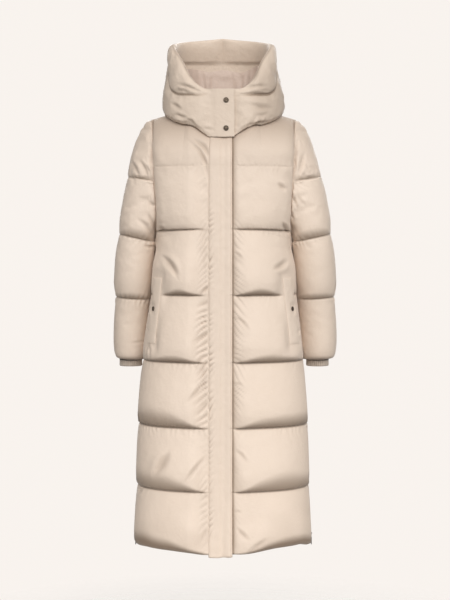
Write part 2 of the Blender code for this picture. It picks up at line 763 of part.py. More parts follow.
def collar_point(base, angle, share):
    """The collar's lining side: share 0 is the neck seam and 1 the top edge."""
    x, y = ring(angle, COLLAR_HALF_WIDTH, COLLAR_FRONT, COLLAR_BACK, 2.4)
    back = smooth(abs(angle), *COLLAR_RISE)
    top = np.array([x, y, COLLAR_TOP_FRONT + (COLLAR_TOP_BACK - COLLAR_TOP_FRONT) * back])
    bow = COLLAR_BOW * math.sin(math.pi * share) ** 2
    return base + (top - base) * share + neck_out(angle)[1] * bow


def make_collar(seam):
    stops = [a for a in seam[:, 0] if 0 < abs(a) < 180] + [180.0]
    angles = with_stops(np.arange(-168, 169, 12.0), stops, 5)
    left_end = min(s for s in stops if s > 0)
    right_end = max(s for s in stops if s < 0)
    angles = [a for a in angles if a >= left_end] + [a for a in angles if a <= right_end]
    inner, outer = [], []
    for share in (0.0, 0.08, 0.3, 0.6, 0.9, 1.0):
        row_in, row_out = [], []
        for angle in angles:
            lining, shell = on_neck(seam, angle)
            level = neck_out(angle)[1]
            lift = unit(np.array([0, 0, 1.0]) - level) * COLLAR_GAP
            if share == 0:
                row_in.append(lining + lift)
                row_out.append(lining + (shell - lining) * (COLLAR_WALL / SEAM_WALL) + lift)
            else:
                full = math.sin(math.pi * share) ** 2 * soft_rise(abs(angle) - 8, 16)
                point = collar_point(lining, angle, share)
                row_in.append(point)
                row_out.append(point + level * (COLLAR_WALL + COLLAR_PUFF * full))
        for row in (row_in, row_out):
            row[0][0], row[-1][0] = FRONT_EDGE, -FRONT_EDGE
        inner.append(row_in)
        outer.append(row_out)
    wall("collar", inner, outer, "shell")


def make_front_zip(front, seam):
    """The zip behind the placket: tapes on the lining side, and a chain between the fronts' edges."""
    base = on_neck(seam, 0)[0]
    line = list(front.lining[:-1, 0]) + [base]
    line += [collar_point(base, 0, share) for share in (0.06, 0.3, 0.6, 0.9, 1.0)]
    line = np.array(line) * [0, 1, 1]
    sections = []
    for point, tangent in zip(line, np.gradient(line, axis=0)):
        out = unit([0, -tangent[2], tangent[1]])
        profile = (
            (-ZIP_TAPE, -ZIP_BEHIND - ZIP_THICK),
            (ZIP_TAPE, -ZIP_BEHIND - ZIP_THICK),
            (ZIP_TAPE, -ZIP_BEHIND),
            (ZIP_CHAIN, -ZIP_BEHIND),
            (ZIP_CHAIN, ZIP_FACE),
            (-ZIP_CHAIN, ZIP_FACE),
            (-ZIP_CHAIN, -ZIP_BEHIND),
            (-ZIP_TAPE, -ZIP_BEHIND),
        )
        sections.append([point + out * depth + np.array([across, 0, 0]) for across, depth in profile])
    sweep("front_zip", sections, "zip")


class Ground:
    """The body's outer side, to lay the hood's lower edge on."""

    def __init__(self, right, left, back):
        points, faces = [], []
        for panel, sides in ((right, (-1,)), (left, (1,)), (back, (-1, 1))):
            for side in sides:
                rows, columns = panel.shell.shape[:2]
                first = len(points)
                points += [tuple(p) for p in flipped(panel.shell, side).reshape(-1, 3)]
                for i in range(rows - 1):
                    for j in range(columns - 1):
                        a = first + i * columns + j
                        faces += [(a, a + 1, a + columns + 1), (a, a + columns + 1, a + columns)]
        self.tree = BVHTree.FromPolygons(points, faces)

    def height(self, x, y, reach):
        """The highest point of the body near a place, seen from above."""
        found = [-1.0]
        for dx in (-reach, 0.0, reach):
            for dy in (-reach, 0.0, reach):
                hit = self.tree.ray_cast((x + dx, y + dy, 0.3), (0, 0, -1))[0]
                if hit:
                    found.append(hit.z)
        return max(found)


def hood_side(angle, z, lap):
    """A point of the hood's lining side, and the way out from it."""
    row = HOOD.at(z)
    here, ahead, behind = (
        np.array(ring(a, row.half_width, row.front, row.back, HOOD_POWER))
        for a in (angle, angle + 0.5, angle - 0.5)
    )
    tangent = ahead - behind
    out = unit([-tangent[1], tangent[0], 0])
    out *= np.sign(out[:2] @ here)
    return np.array([here[0] + row.x, here[1], z]) + out * lap, out


def hood_column(angle, lap, seam, ground):
    """One column of a hood half, from the neck seam out under its edge and up to the rim."""
    edges = HOOD_EDGES.at(abs(angle))
    inner, outer = [], []

    def add(point, way, thickness, sag=0.0):
        inner.append(np.array(point))
        outer.append(point + way * thickness - np.array([0, 0, sag]))

    # The overlapping ends and the seam at the back are not filled.
    full = soft_rise(abs(angle) - HOOD_FLAT_END, HOOD_SOFT_EDGE) * soft_rise(180 - abs(angle), HOOD_SOFT_EDGE)
    edge, out = hood_side(angle, edges.bottom, lap)
    lip = edge + out * SEAM_WALL
    edge_z = max(edges.bottom, ground.height(*lip[:2], HOOD_REACH) + HOOD_OVER_BODY)

    # Under the edge the hood runs in to the neck seam. Its front ends only hang down from above.
    hangs = abs(angle) < HOOD_ENDS_HANG
    start = on_neck(seam, angle)[1] + neck_out(angle)[1] * HOOD_FOOT
    start += (edge - start) * (1 - smooth(abs(angle), HOOD_ENDS_HANG - 5, HOOD_ENDS_HANG + 5)) * 0.97
    for share in HOOD_UNDER_ROWS:
        point = start + (edge - start) * share
        if hangs:
            low = edge_z + HOOD_UNDER_WALL / 2
        elif share == 0:
            low = ground.height(*point[:2], HOOD_FOOT_REACH.at(abs(angle)).reach) + SEAM_GAP
        else:
            line = start[2] + (edge_z - start[2]) * share
            low = max(line, ground.height(*point[:2], HOOD_REACH) + HOOD_OVER_BODY)
        add([point[0], point[1], low + HOOD_UNDER_WALL], np.array([0, 0, -1.0]), HOOD_UNDER_WALL)
    inner.append(np.array([edge[0], edge[1], edge_z + 2 * HOOD_UNDER_WALL]))
    outer.append(np.array([edge[0], edge[1], edge_z]) + out * SEAM_WALL * (1 + full))

    for share, height in HOOD_BAND_ROWS:
        z = max(edge_z + (edges.seam - edge_z) * share, edge_z + 2 * HOOD_UNDER_WALL + 0.001)
        point, out = hood_side(angle, z, lap)
        add(point, out, SEAM_WALL + HOOD_PUFF * height * full, SAG * height * full)
    brim = edges.rim - edges.seam
    roll = smooth(brim, 0.015, 0.05)
    for share in HOOD_BRIM_ROWS:
        height = math.sqrt(max(1 - (2 * share - 1) ** 2, 0)) * roll * full
        point, out = hood_side(angle, edges.seam + brim * share, lap)
        inside = HOOD_BRIM_INSIDE * height * smooth(abs(angle), 40, 95)
        add(point - out * inside, out, inside + SEAM_WALL + HOOD_PUFF * height)
    if abs(angle) == 180:
        for point in inner + outer:
            point[0] = HOOD.at(point[2]).x + math.copysign(SEAM_GAP / 2, angle)
    return inner, outer


def make_hood(name, side, ends, seam, ground):
    """Half of the hood, from its front end round to the seam at the back."""
    stops = [abs(a) for a in seam[:, 0] if a * side > HOOD_TURNS[2]]
    turns = with_stops(HOOD_TURNS, stops, 5)
    columns = []
    for turn in list(ends) + turns:
        lap = THROAT_LAP * (1 - smooth(turn, 5, 16)) if side < 0 else 0.0
        columns.append(hood_column(side * turn, lap, seam, ground))
    inner = np.swapaxes(np.array([c[0] for c in columns]), 0, 1)
    outer = np.swapaxes(np.array([c[1] for c in columns]), 0, 1)
    wall(name, inner, outer, "shell")


# ---------------------------------------------------------------- sleeves and cuffs


def tube_point(angle, z):
    row = SLEEVE.at(z)
    s, c = math.sin(math.radians(angle)), math.cos(math.radians(angle))
    x = row.x - row.half_width * signed_power(c, 2 / SLEEVE_POWER)
    y = row.y - row.half_depth * signed_power(s, 2 / SLEEVE_POWER)
    return np.array([x, y, z])


def sleeve_point(angle, z):
    """The sleeve's lining side at +X. Angle 0 faces the body and 90 is the front, as on the armhole."""
    start = armhole(angle)[0]
    z = min(z, start[2])
    inside = smooth((1 + math.cos(math.radians(angle))) / 2, 0.5, 0.95)
    reach = SLEEVE_BLEND_OUTSIDE + (SLEEVE_BLEND_INSIDE - SLEEVE_BLEND_OUTSIDE) * inside
    fade = math.exp(-(((start[2] - z) / reach) ** 2))
    return tube_point(angle, z) + (start - tube_point(angle, start[2])) * fade


def sleeve_out(angle, z):
    start, seam_way = armhole(angle)
    depth = start[2] - z
    around = sleeve_point(angle + 2, z) - sleeve_point(angle - 2, z)
    upright = sleeve_point(angle, z) - sleeve_point(angle, z - 0.004)
    normal = unit(np.cross(upright, around))
    centre = SLEEVE.at(min(z, start[2]))
    away = sleeve_point(angle, z) - np.array([centre.x, centre.y, z])
    if normal @ away < 0:
        normal = -normal
    near_seam = math.exp(-depth / 0.010)
    return unit(normal * (1 - near_seam) + seam_way * near_seam)


def hang_out(side, z, inner_side):
    """How far a sleeve hangs out from the table's place. inner_side is 1 where it faces the body."""
    spread = 1 - SLEEVE_SPREAD * inner_side
    return np.array([SLEEVE_OUT[side] * smooth(-z, 0.10, 0.23) * spread, 0, 0])


def make_sleeve(name, side):
    half = armhole_stops()
    angles = half + [360 - a for a in half[-2:0:-1]]
    inner, outer = [], []
    for angle in angles:
        start, seam_way = armhole(angle)
        inner_side = (1 + math.cos(math.radians(angle))) / 2
        lines = [start[2]]
        for line in SLEEVE_LINES:
            lines.append(min(lines[-1], line.outer + (line.inner - line.outer) * inner_side))
        seam = start + [SEAM_GAP / 2, 0, 0]
        column_in, column_out = [seam], [seam + seam_way * SEAM_WALL]
        narrow = 1 - SLEEVE_INSIDE_FLAT * inner_side**2
        for high, low in zip(lines, lines[1:]):
            room = smooth(high - low, 0.0, 0.09)
            for share in (0.85, 0.55, 0.28, 0.07, 0.0):
                z = low + (high - low) * share
                if start[2] - z < 1e-6:
                    column_in.append(column_in[0])
                    column_out.append(column_out[0])
                    continue
                hang = hang_out(side, z, inner_side) * smooth(start[2] - z, 0.0, 0.06)
                point = sleeve_point(angle, z) + hang
                full = CHANNEL.at(share).height * room * narrow * soft_rise(start[2] - z, 0.03)
                way = sleeve_out(angle, z)
                if z == SLEEVE_LINES[-1].outer:
                    way = unit([way[0], way[1], -0.3])
                column_in.append(point)
                sag = np.array([0, 0, SAG * full])
                column_out.append(point + way * (SEAM_WALL + SLEEVE_PUFF * full) - sag)
        inner.append(column_in)
        outer.append(column_out)
    inner = np.swapaxes(np.array(inner), 0, 1)
    outer = np.swapaxes(np.array(outer), 0, 1)
    behind = range(len(half) - 1, len(angles))
    wall(name, flipped(inner, side), flipped(outer, side), "shell", closed=True, mirrored=behind)


def make_cuff(name, side):
    """The knitted cuff inside the sleeve's end, with its ribs."""
    centre = SLEEVE.at(CUFF_TOP_Z)
    inner, outer = [], []
    for z in (CUFF_TOP_Z, CUFF_END_Z):
        row_in, row_out = [], []
        for k in range(3 * RIBS):
            angle = 2 * math.pi * k / (3 * RIBS)
            way = np.array([math.cos(angle), math.sin(angle), 0])
            middle = np.array([centre.x, centre.y + CUFF_BACK, z]) + hang_out(side, z, 0.5)
            crest = CUFF_RADIUS if k % 3 else CUFF_RADIUS - RIB_HEIGHT
            row_in.append(middle + way * (CUFF_RADIUS - RIB_HEIGHT - CUFF_WALL))
            row_out.append(middle + way * crest)
        inner.append(row_in)
        outer.append(row_out)
    wall(name, flipped(inner, side), flipped(outer, side), "knit", closed=True)


# ---------------------------------------------------------------- metal pieces


def make_snap(name, centre, way, radius):
    """A press stud's cap: a low turned disc with a dished middle."""
    profile = (
        (0.0, 0.0012),
        (radius * 0.55, 0.0012),
        (radius * 0.72, 0.0019),
        (radius * 0.94, 0.0015),
        (radius, 0.0006),
        (radius * 0.94, 0.0),
        (0.0, 0.0),
    )
    mesh = bpy.data.meshes.new(name)
    edges = [(k, k + 1) for k in range(len(profile) - 1)]
    mesh.from_pydata([(x, 0, z) for x, z in profile], edges, [])
    made = add_object(name, mesh, "metal")
    turn = made.modifiers.new("turn", "SCREW")
    turn.steps = turn.render_steps = 18
    turn.use_merge_vertices = True
    turn.merge_threshold = 0.00001
    turn.use_normal_calculate = True
    made.rotation_mode = "QUATERNION"
    from_z = np.array([0, 0, 1.0])
    axis = np.cross(from_z, way)
    angle = math.acos(min(max(float(from_z @ way), -1), 1))
    length = float(np.linalg.norm(axis))
    axis = axis / length if length > 1e-9 else np.array([1.0, 0, 0])
    half = math.sin(angle / 2)
    made.rotation_quaternion = (math.cos(angle / 2), *(axis * half))
    made.location = centre
    return made


def make_side_zip(name, front, side):
    """The closed zip along a side seam, as a strip on the seam's flat margin."""
    sections = []
    for i in range(1, SIDE_ZIP_ROWS):
        z = front.lining[i, -1, 2]
        inner = front.lining[i, -1, 0] + SEAM_WALL + SEAM_GAP
        face = inner + SIDE_ZIP_THICK
        profile = ((inner, -0.0032), (face, -0.0026), (face, 0.0026), (inner, 0.0032))
        sections.append([(side * x, y, z) for x, y in profile])
    sweep(name, sections, "zip")


def slider_face():
    """How far out the side zip's slider lies at the foot of the zip: its inner face."""
    return BODY.at(SLIDER_Z).half_width + SEAM_WALL + SEAM_GAP + SIDE_ZIP_THICK + SEAM_GAP + 0.0003


def slider_axis(side):
    """The middle of the pull's bar, about which the pull swings."""
    return np.array([side * (slider_face() + SLIDER_THICK + BAR_OUT), 0, SLIDER_Z])


def make_slider(name, side):
    """The slider at the foot of a side zip: a block with a bridge that the pull hangs from."""
    centre = slider_axis(side)
    bm = bmesh.new()
    bmesh.ops.create_cube(bm, size=1)
    for vert in bm.verts:
        wide = SLIDER_WIDE_TOP if vert.co.z > 0 else SLIDER_WIDE_FOOT
        vert.co.x = side * (slider_face() + SLIDER_THICK * (vert.co.x + 0.5))
        vert.co.y *= wide
        vert.co.z = centre[2] + vert.co.z * SLIDER_HIGH
    block = add_object(name, closed_mesh(name, bm), "metal", 30)

    path = bpy.data.curves.new(name + "_bridge", "CURVE")
    path.dimensions = "3D"
    path.bevel_depth = BRIDGE_WIRE
    path.bevel_resolution = 1
    path.use_fill_caps = True
    spline = path.splines.new("POLY")
    turns = np.radians(np.linspace(-90, 90, 9))
    spline.points.add(len(turns) - 1)
    foot = slider_face() + SLIDER_THICK - BRIDGE_SUNK
    for point, turn in zip(spline.points, turns):
        out = foot + (BRIDGE_OUT + BRIDGE_SUNK) * math.cos(turn) ** 0.7
        point.co = (side * out, 0, centre[2] + BRIDGE_HALF_HEIGHT * math.sin(turn), 1)
    curve = bpy.data.objects.new(name + "_bridge_curve", path)
    COAT.objects.link(curve)
    graph = bpy.context.evaluated_depsgraph_get()
    mesh = bpy.data.meshes.new_from_object(curve.evaluated_get(graph))
    bpy.data.objects.remove(curve)
    bm = bmesh.new()
    bm.from_mesh(mesh)
    bmesh.ops.remove_doubles(bm, verts=bm.verts, dist=1e-5)
    bmesh.ops.recalc_face_normals(bm, faces=bm.faces)
    bm.to_mesh(mesh)
    bm.free()
    bridge = bpy.data.objects.new(name + "_bridge", mesh)
    CUTTERS.objects.link(bridge)
    bridge.hide_render = True
    bridge.display_type = "WIRE"
    union = block.modifiers.new("bridge", "BOOLEAN")
    union.operation = "UNION"
    union.object = bridge


def make_pull(name, side):
    """The pull tab: a plate with a window at its top, through which the slider's bridge passes."""
    shape = bpy.data.curves.new(name, "CURVE")
    shape.dimensions = "2D"
    shape.fill_mode = "BOTH"
    shape.extrude = PULL_THICK / 2
    half = PULL_WIDE / 2
    tip = -PULL_LENGTH + half
    outline = [(-half * 0.8, PULL_BAR / 2), (half * 0.8, PULL_BAR / 2), (half, -half)]
    for turn in np.radians(range(0, -181, -30)):
        outline.append((half * math.cos(turn), tip + half * math.sin(turn)))
    outline.append((-half, -half))
    hole, top = WINDOW_WIDE / 2, -PULL_BAR / 2
    window = [(-hole, top), (hole, top), (hole, top - WINDOW_HIGH), (-hole, top - WINDOW_HIGH)]
    for loop in (outline, window):
        spline = shape.splines.new("POLY")
        spline.points.add(len(loop) - 1)
        spline.use_cyclic_u = True
        for point, (across, up) in zip(spline.points, loop):
            point.co = (across, up, 0, 1)
    shape.materials.append(material("metal"))
    made = bpy.data.objects.new(name, shape)
    COAT.objects.link(made)
    # The curve's plane stands up across Y, and its thickness runs along X.
    made.rotation_euler = (math.pi / 2, 0, math.pi / 2)
    made.location = slider_axis(side)
    return made


# ---------------------------------------------------------------- the coat


def new_collection(name):
    made = bpy.data.collections.new(name)
    bpy.context.scene.collection.children.link(made)
    return made


for old in list(bpy.data.objects):
    bpy.data.objects.remove(old)
COAT = new_collection("puffer_coat")
CUTTERS = new_collection("cutters")
CUTTERS.hide_render = True

back = make_back()
right_front = make_front("front_right", -1, PLACKET_RIGHT, HEM_LIFT_RIGHT)
left_front = make_front("front_left", 1, PLACKET_LEFT, HEM_LIFT_LEFT)
make_placket(right_front, left_front)
seam = neck_seam(right_front, left_front, back)
ground = Ground(right_front, left_front, back)
make_front_zip(left_front, seam)
make_collar(seam)
make_hood("hood_right", -1, THROAT_RIGHT, seam, ground)
make_hood("hood_left", 1, THROAT_LEFT, seam, ground)
for half, side, front in (("right", -1, right_front), ("left", 1, left_front)):
    make_sleeve("sleeve_" + half, side)
    make_cuff("cuff_" + half, side)
    snap_at, snap_way = make_welt("pocket_welt_" + half, front, side)
    make_snap("pocket_snap_" + half, snap_at + snap_way * 2 * SEAM_GAP, snap_way, 0.005)
    make_side_zip("side_zip_" + half, front, side)
    make_slider("side_slider_" + half, side)
    make_pull("side_pull_" + half, side)
for name, height in (("upper", 0.0166), ("lower", -0.0585)):
    face = -(HOOD.at(height).front + THROAT_LAP + SEAM_WALL)
    make_snap("throat_snap_" + name, (0.007, face - 2 * SEAM_GAP, height), np.array([0, -1.0, 0]), 0.006)
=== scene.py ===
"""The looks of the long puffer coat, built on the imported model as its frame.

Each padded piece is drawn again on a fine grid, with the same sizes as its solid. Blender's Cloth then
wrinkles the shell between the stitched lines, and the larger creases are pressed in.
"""

import math
from types import SimpleNamespace

import bmesh
import bpy
import numpy as np
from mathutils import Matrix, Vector, noise
from mathutils.bvhtree import BVHTree


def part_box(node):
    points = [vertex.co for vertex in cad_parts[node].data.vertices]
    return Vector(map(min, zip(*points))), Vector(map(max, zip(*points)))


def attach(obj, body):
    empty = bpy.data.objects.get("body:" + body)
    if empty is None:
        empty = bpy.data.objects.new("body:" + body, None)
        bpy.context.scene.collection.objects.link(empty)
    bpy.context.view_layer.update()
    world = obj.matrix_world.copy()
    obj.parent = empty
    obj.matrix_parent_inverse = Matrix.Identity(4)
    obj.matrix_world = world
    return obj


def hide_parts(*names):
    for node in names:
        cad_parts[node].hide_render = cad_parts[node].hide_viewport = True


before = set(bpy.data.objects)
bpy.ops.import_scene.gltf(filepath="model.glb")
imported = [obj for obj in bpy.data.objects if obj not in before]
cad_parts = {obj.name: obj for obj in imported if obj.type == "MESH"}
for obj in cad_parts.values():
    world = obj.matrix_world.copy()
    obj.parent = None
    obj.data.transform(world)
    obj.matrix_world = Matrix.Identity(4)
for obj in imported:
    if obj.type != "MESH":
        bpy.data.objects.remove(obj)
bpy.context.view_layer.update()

# ---------------------------------------------------------------- the part's sizes, in metres

SEAM_GAP = 0.0003
SEAM_WALL = 0.004
EDGE_WALL = 0.0022  # where a panel ends at the side seam or the armhole
EDGE_REACH = 0.010
BODY_PUFF = 0.015
SLEEVE_PUFF = 0.008
HOOD_PUFF = 0.013
COLLAR_PUFF = 0.006
SAG = 0.004
SOFT_EDGE = 0.038
NECK_SOFT_EDGE = 0.045
SIDE_MARGIN = 0.001
HOLE_MARGIN = 0.0035
UNDERARM_DIP = 0.014
UNDERARM_OUT = 0.9
UNDERARM_REACH = (0.13, 0.03)  # the dip under the arm begins and is deepest this far from the side
SIDE_REACH = (0.09, 0.02)  # and so is the body's narrowing beside the sleeves
HEM_Z = -1.2045
HEM_DIP = 0.003
HEM_LIFT_LEFT = 0.012
HEM_LIFT_RIGHT = 0.005
QUILT_Z = (HEM_Z, -1.039, -0.867, -0.690, -0.508, -0.330, -0.158)
SHOULDER_Z = -0.028
ARMPIT_Z = -0.345
UNDERARM_ROWS = (-0.410, ARMPIT_Z, -0.330)  # the rows' dip under the arm begins, is deepest and ends here
FRONT_EDGE = 0.004
PLACKET_RIGHT = 0.040
PLACKET_LEFT = 0.024
PLACKET_WALL = 0.0035
PLACKET_DROP = 0.007
POCKET_FULL = 0.84
POCKET_Z = (-0.639, -0.458)
POCKET_SHARES = (0.50, 0.65)
POCKET_FROM = 0.40
WELT_SPARE = 0.012  # how much wider than the pocket the welt is at each side, in shares
POCKET_SOFT = (0.05, 0.07, 0.035)  # the shares before and after the welt, and the height, that it flattens
POWER_FRONT = 2.4
POWER_BACK = 2.15
COLLAR_WALL = 0.005
COLLAR_GAP = 0.00045
COLLAR_HALF_WIDTH = 0.098
COLLAR_FRONT = 0.094
COLLAR_BACK = 0.082
COLLAR_POWER = 2.4
COLLAR_TOP_FRONT = 0.043
COLLAR_TOP_BACK = 0.132
COLLAR_RISE = (15, 115)  # its top edge climbs from the front between these angles
COLLAR_BOW = 0.004
RIBS = 34
RIB_HEIGHT = 0.0012
CUFF_RADIUS = 0.0322
CUFF_WALL = 0.0022


class Table:
    """Rows with named columns, read at any value of the first column. It is smooth between its rows."""

    def __init__(self, columns, *rows):
        self.columns = columns
        self.rows = np.array(sorted(rows), float)
        step = np.diff(self.rows[:, 0])[:, None]
        slope = np.diff(self.rows[:, 1:], axis=0) / step
        both = slope[1:] * slope[:-1]
        total = np.where(both > 0, slope[1:] + slope[:-1], 1.0)
        inner = np.where(both > 0, 2 * both / total, 0.0)
        self.slopes = np.vstack([slope[:1], inner, slope[-1:]])

    def at(self, key):
        keys = self.rows[:, 0]
        key = min(max(key, keys[0]), keys[-1])
        i = min(max(int(np.searchsorted(keys, key)) - 1, 0), len(keys) - 2)
        step = keys[i + 1] - keys[i]
        t = (key - keys[i]) / step
        low, high = self.rows[i, 1:], self.rows[i + 1, 1:]
        values = (
            (1 + 2 * t) * (1 - t) ** 2 * low
            + t * (1 - t) ** 2 * step * self.slopes[i]
            + t * t * (3 - 2 * t) * high
            + t * t * (t - 1) * step * self.slopes[i + 1]
        )
        return SimpleNamespace(**dict(zip(self.columns[1:], values)))


BODY = Table(
    ("z", "half_width", "front", "back"),
    (-1.215, 0.238, 0.150, 0.160),
    (-1.039, 0.231, 0.146, 0.152),
    (-0.867, 0.227, 0.142, 0.146),
    (-0.690, 0.215, 0.138, 0.140),
    (-0.600, 0.205, 0.137, 0.134),
    (-0.508, 0.194, 0.136, 0.128),
    (-0.430, 0.189, 0.136, 0.126),
    (-0.375, 0.177, 0.135, 0.126),
    (-0.345, 0.174, 0.134, 0.126),
    (-0.240, 0.174, 0.131, 0.124),
    (-0.158, 0.174, 0.126, 0.118),
)
BESIDE_SLEEVES = Table(
    ("z", "less"), (-0.760, 0.0), (-0.660, 0.25), (-0.520, 0.20), (-0.440, 0.25), (-0.300, 0.0)
)
ARMHOLE_TOP_X = 0.200
ARMHOLE_LOW_X = 0.174
ARMHOLE_HALF_DEPTH = 0.079
ARMHOLE_POWER = 2.2
NECK_HALF_WIDTH = 0.084
NECK_FRONT = 0.092
NECK_BACK = 0.068
NECK_POWER = 2.2
NECK_HEIGHT = Table(
    ("angle", "z"), (0, -0.070), (15, -0.066), (30, -0.053), (45, -0.035), (60, -0.018), (75, -0.006),
    (90, 0.0), (130, -0.006), (180, -0.012),
)
SLEEVE = Table(
    ("z", "x", "y", "half_width", "half_depth"),
    (-0.028, 0.186, 0.006, 0.016, 0.078),
    (-0.036, 0.186, 0.006, 0.026, 0.078),
    (-0.052, 0.187, 0.006, 0.034, 0.079),
    (-0.095, 0.189, 0.006, 0.048, 0.080),
    (-0.137, 0.191, 0.006, 0.057, 0.080),
    (-0.176, 0.195, 0.007, 0.061, 0.080),
    (-0.220, 0.204, 0.008, 0.061, 0.078),
    (-0.285, 0.220, 0.010, 0.057, 0.072),
    (-0.345, 0.236, 0.012, 0.048, 0.066),
    (-0.395, 0.246, 0.017, 0.046, 0.063),
    (-0.460, 0.251, 0.030, 0.046, 0.060),
    (-0.517, 0.255, 0.046, 0.042, 0.057),
    (-0.617, 0.262, 0.065, 0.040, 0.050),
    (-0.665, 0.263, 0.071, 0.039, 0.046),
    (-0.684, 0.263, 0.072, 0.037, 0.041),
    (-0.692, 0.263, 0.072, 0.0345, 0.0345),
)
SLEEVE_POWER = 2.1
SLEEVE_BLEND_OUTSIDE = 0.075
SLEEVE_BLEND_INSIDE = 0.005
SLEEVE_INSIDE_FLAT = 0.20
SLEEVE_OUT = {1: 0.008, -1: -0.001}
SLEEVE_SPREAD = 0.7
SLEEVE_UNDERSIDES = (0.012, 0.026, 0.020, 0.012)  # how high the underside of each channel is, from the top
SLEEVE_BAG = 0.35  # how far its down bags out, of the body's
SLEEVE_INSIDE_FULL = 0.55  # how much of a stitched line is filled out on the side towards the body
SLEEVE_LEAST = 0.010  # the least height of a channel, where it runs out under the arm
SLEEVE_END_WAY = -0.3  # the shell's edge at the cuff leans down and in
SLEEVE_SEAM_SHADE = 0.35  # of a stitched line's painted shade, at the armhole
# how much of the hood's shadow is painted on the sleeves' tops, near the hood and right under it
SLEEVE_NEAR_HOOD_SHADOW = 0.08
SLEEVE_UNDER_HOOD_SHADOW = 0.136
SLEEVE_LINE_FULL = (0.35, 0.62, 0.35, 0.30, 0.0)  # how full the outer side stays at each line, from the top
SLEEVE_LINES = (
    SimpleNamespace(outer=-0.182, inner=-0.213),
    SimpleNamespace(outer=-0.341, inner=-0.361),
    SimpleNamespace(outer=-0.516, inner=-0.520),
    SimpleNamespace(outer=-0.692, inner=-0.692),
)
HOOD = Table(
    ("z", "x", "half_width", "front", "back"),
    (-0.090, 0.0, 0.153, 0.1130, 0.124),
    (-0.050, 0.0, 0.154, 0.1125, 0.128),
    (0.000, 0.0, 0.153, 0.1120, 0.140),
    (0.045, -0.001, 0.150, 0.1120, 0.156),
    (0.100, -0.003, 0.141, 0.1110, 0.166),
    (0.150, -0.004, 0.135, 0.1090, 0.163),
    (0.200, -0.003, 0.131, 0.1060, 0.148),
    (0.225, -0.003, 0.129, 0.1040, 0.138),
)
HOOD_POWER = 2.3
HOOD_EDGES = Table(
    ("angle", "bottom", "seam", "rim"),
    (0, -0.082, 0.033, 0.047),
    (15, -0.080, 0.033, 0.048),
    (22, -0.078, 0.033, 0.057),
    (30, -0.072, 0.034, 0.074),
    (38, -0.064, 0.035, 0.096),
    (46, -0.054, 0.037, 0.122),
    (60, -0.034, 0.052, 0.149),
    (75, -0.020, 0.100, 0.169),
    (90, -0.018, 0.134, 0.185),
    (110, -0.020, 0.142, 0.197),
    (140, -0.032, 0.150, 0.211),
    (180, -0.046, 0.156, 0.223),
)
THROAT_END_RIGHT = -8.4
THROAT_END_LEFT = -3.2
THROAT_LAP = 0.0056
HOOD_OVER_BODY = 0.0022
HOOD_UNDER_WALL = 0.004
HOOD_FOOT = 0.009
HOOD_BRIM_INSIDE = 0.009
HOOD_FLAT_END = 11
HOOD_SOFT_EDGE = 17
HOOD_ENDS_HANG = 29
HOOD_REACH = 0.003
HOOD_FOOT_REACH = Table(
    ("angle", "reach"), (0, 0.0025), (80, 0.0025), (95, 0.0045), (145, 0.0045), (165, 0.0015)
)
CHANNEL = Table(
    ("share", "height"), (0, 0.02), (0.015, 0.30), (0.05, 0.58), (0.12, 0.82), (0.28, 1.0),
    (0.55, 0.90), (0.80, 0.68), (0.93, 0.42), (0.985, 0.20), (1, 0.02),
)
# The down hangs lower and further out than in the solids, more so in the lower channels.
BAG_DEPTH = 0.0135
BAG_SAG = 0.002
BAG_SIDE = 0.025
BAG_FULL = 0.020  # a bag whose underside is this high stands out all the way
BAG_ROUND = 1.35
BAG_SPREAD = (-0.014, -0.005, 0.005, 0.014)  # a bag's height at a column is the mean over these distances


def undersides(*lines):
    """How high the underside of the down is above each line, from the hem up.

    A line has pairs in millimetres: the distance from the placket or the middle, and the height there.
    """
    return [np.array(line).reshape(-1, 2) / 1000 for line in lines]


UNDERSIDE_RIGHT = undersides(
    (0, 3, 40, 18, 100, 38, 160, 48, 240, 46),
    (0, 0, 22, 6, 60, 32, 110, 54, 160, 60, 240, 64),
    (0, 0, 25, 6, 60, 30, 100, 52, 160, 62, 240, 56),
    (0, 0, 30, 4, 60, 20, 100, 26, 140, 14, 220, 4),
    (0, 0, 25, 2, 50, 15, 78, 26, 110, 6, 200, 0),
    (0, 0, 30, 3, 100, 6, 200, 3),
    (0, 0, 200, 0),
)
UNDERSIDE_LEFT = undersides(
    (0, 6, 50, 16, 90, 28, 150, 40, 240, 32),
    (0, 0, 20, 8, 60, 34, 110, 56, 150, 62, 200, 50, 260, 42),
    (0, 0, 20, 8, 60, 30, 110, 40, 170, 43, 260, 46),
    (0, 0, 20, 6, 60, 22, 100, 30, 150, 20, 220, 6),
    (0, 0, 20, 8, 50, 20, 75, 27, 110, 12, 130, 0, 200, 0),
    (0, 0, 30, 4, 100, 7, 200, 3),
    (0, 0, 200, 0),
)
UNDERSIDE_BACK = undersides(
    (0, 28, 80, 36, 160, 28, 260, 34),
    (0, 42, 70, 30, 150, 50, 260, 46),
    (0, 36, 90, 52, 170, 40, 260, 50),
    (0, 30, 80, 22, 160, 34, 260, 18),
    (0, 24, 100, 30, 180, 18, 240, 10),
    (0, 14, 100, 18, 200, 6),
    (0, 8, 100, 10, 200, 4),
)
# How full the cloth stays at each stitched line, from the hem up, and how far the line fades at its ends.
LINE_FULL = (0.0, 0.0, 0.0, 0.03, 0.08, 0.22, 0.86)
LINE_ENDS_FULL = (0.0, 0.0, 0.0, 0.05, 0.20, 0.30, 1.0)
LINE_SIDES_FULL = (0.0, 0.50, 0.50, 0.60, 0.85, 1.0, 1.0)
LINE_END = 0.035
CHANNEL_MIDDLE = (0.35, 0.65)  # between these shares a channel passes from its lower line to its upper one
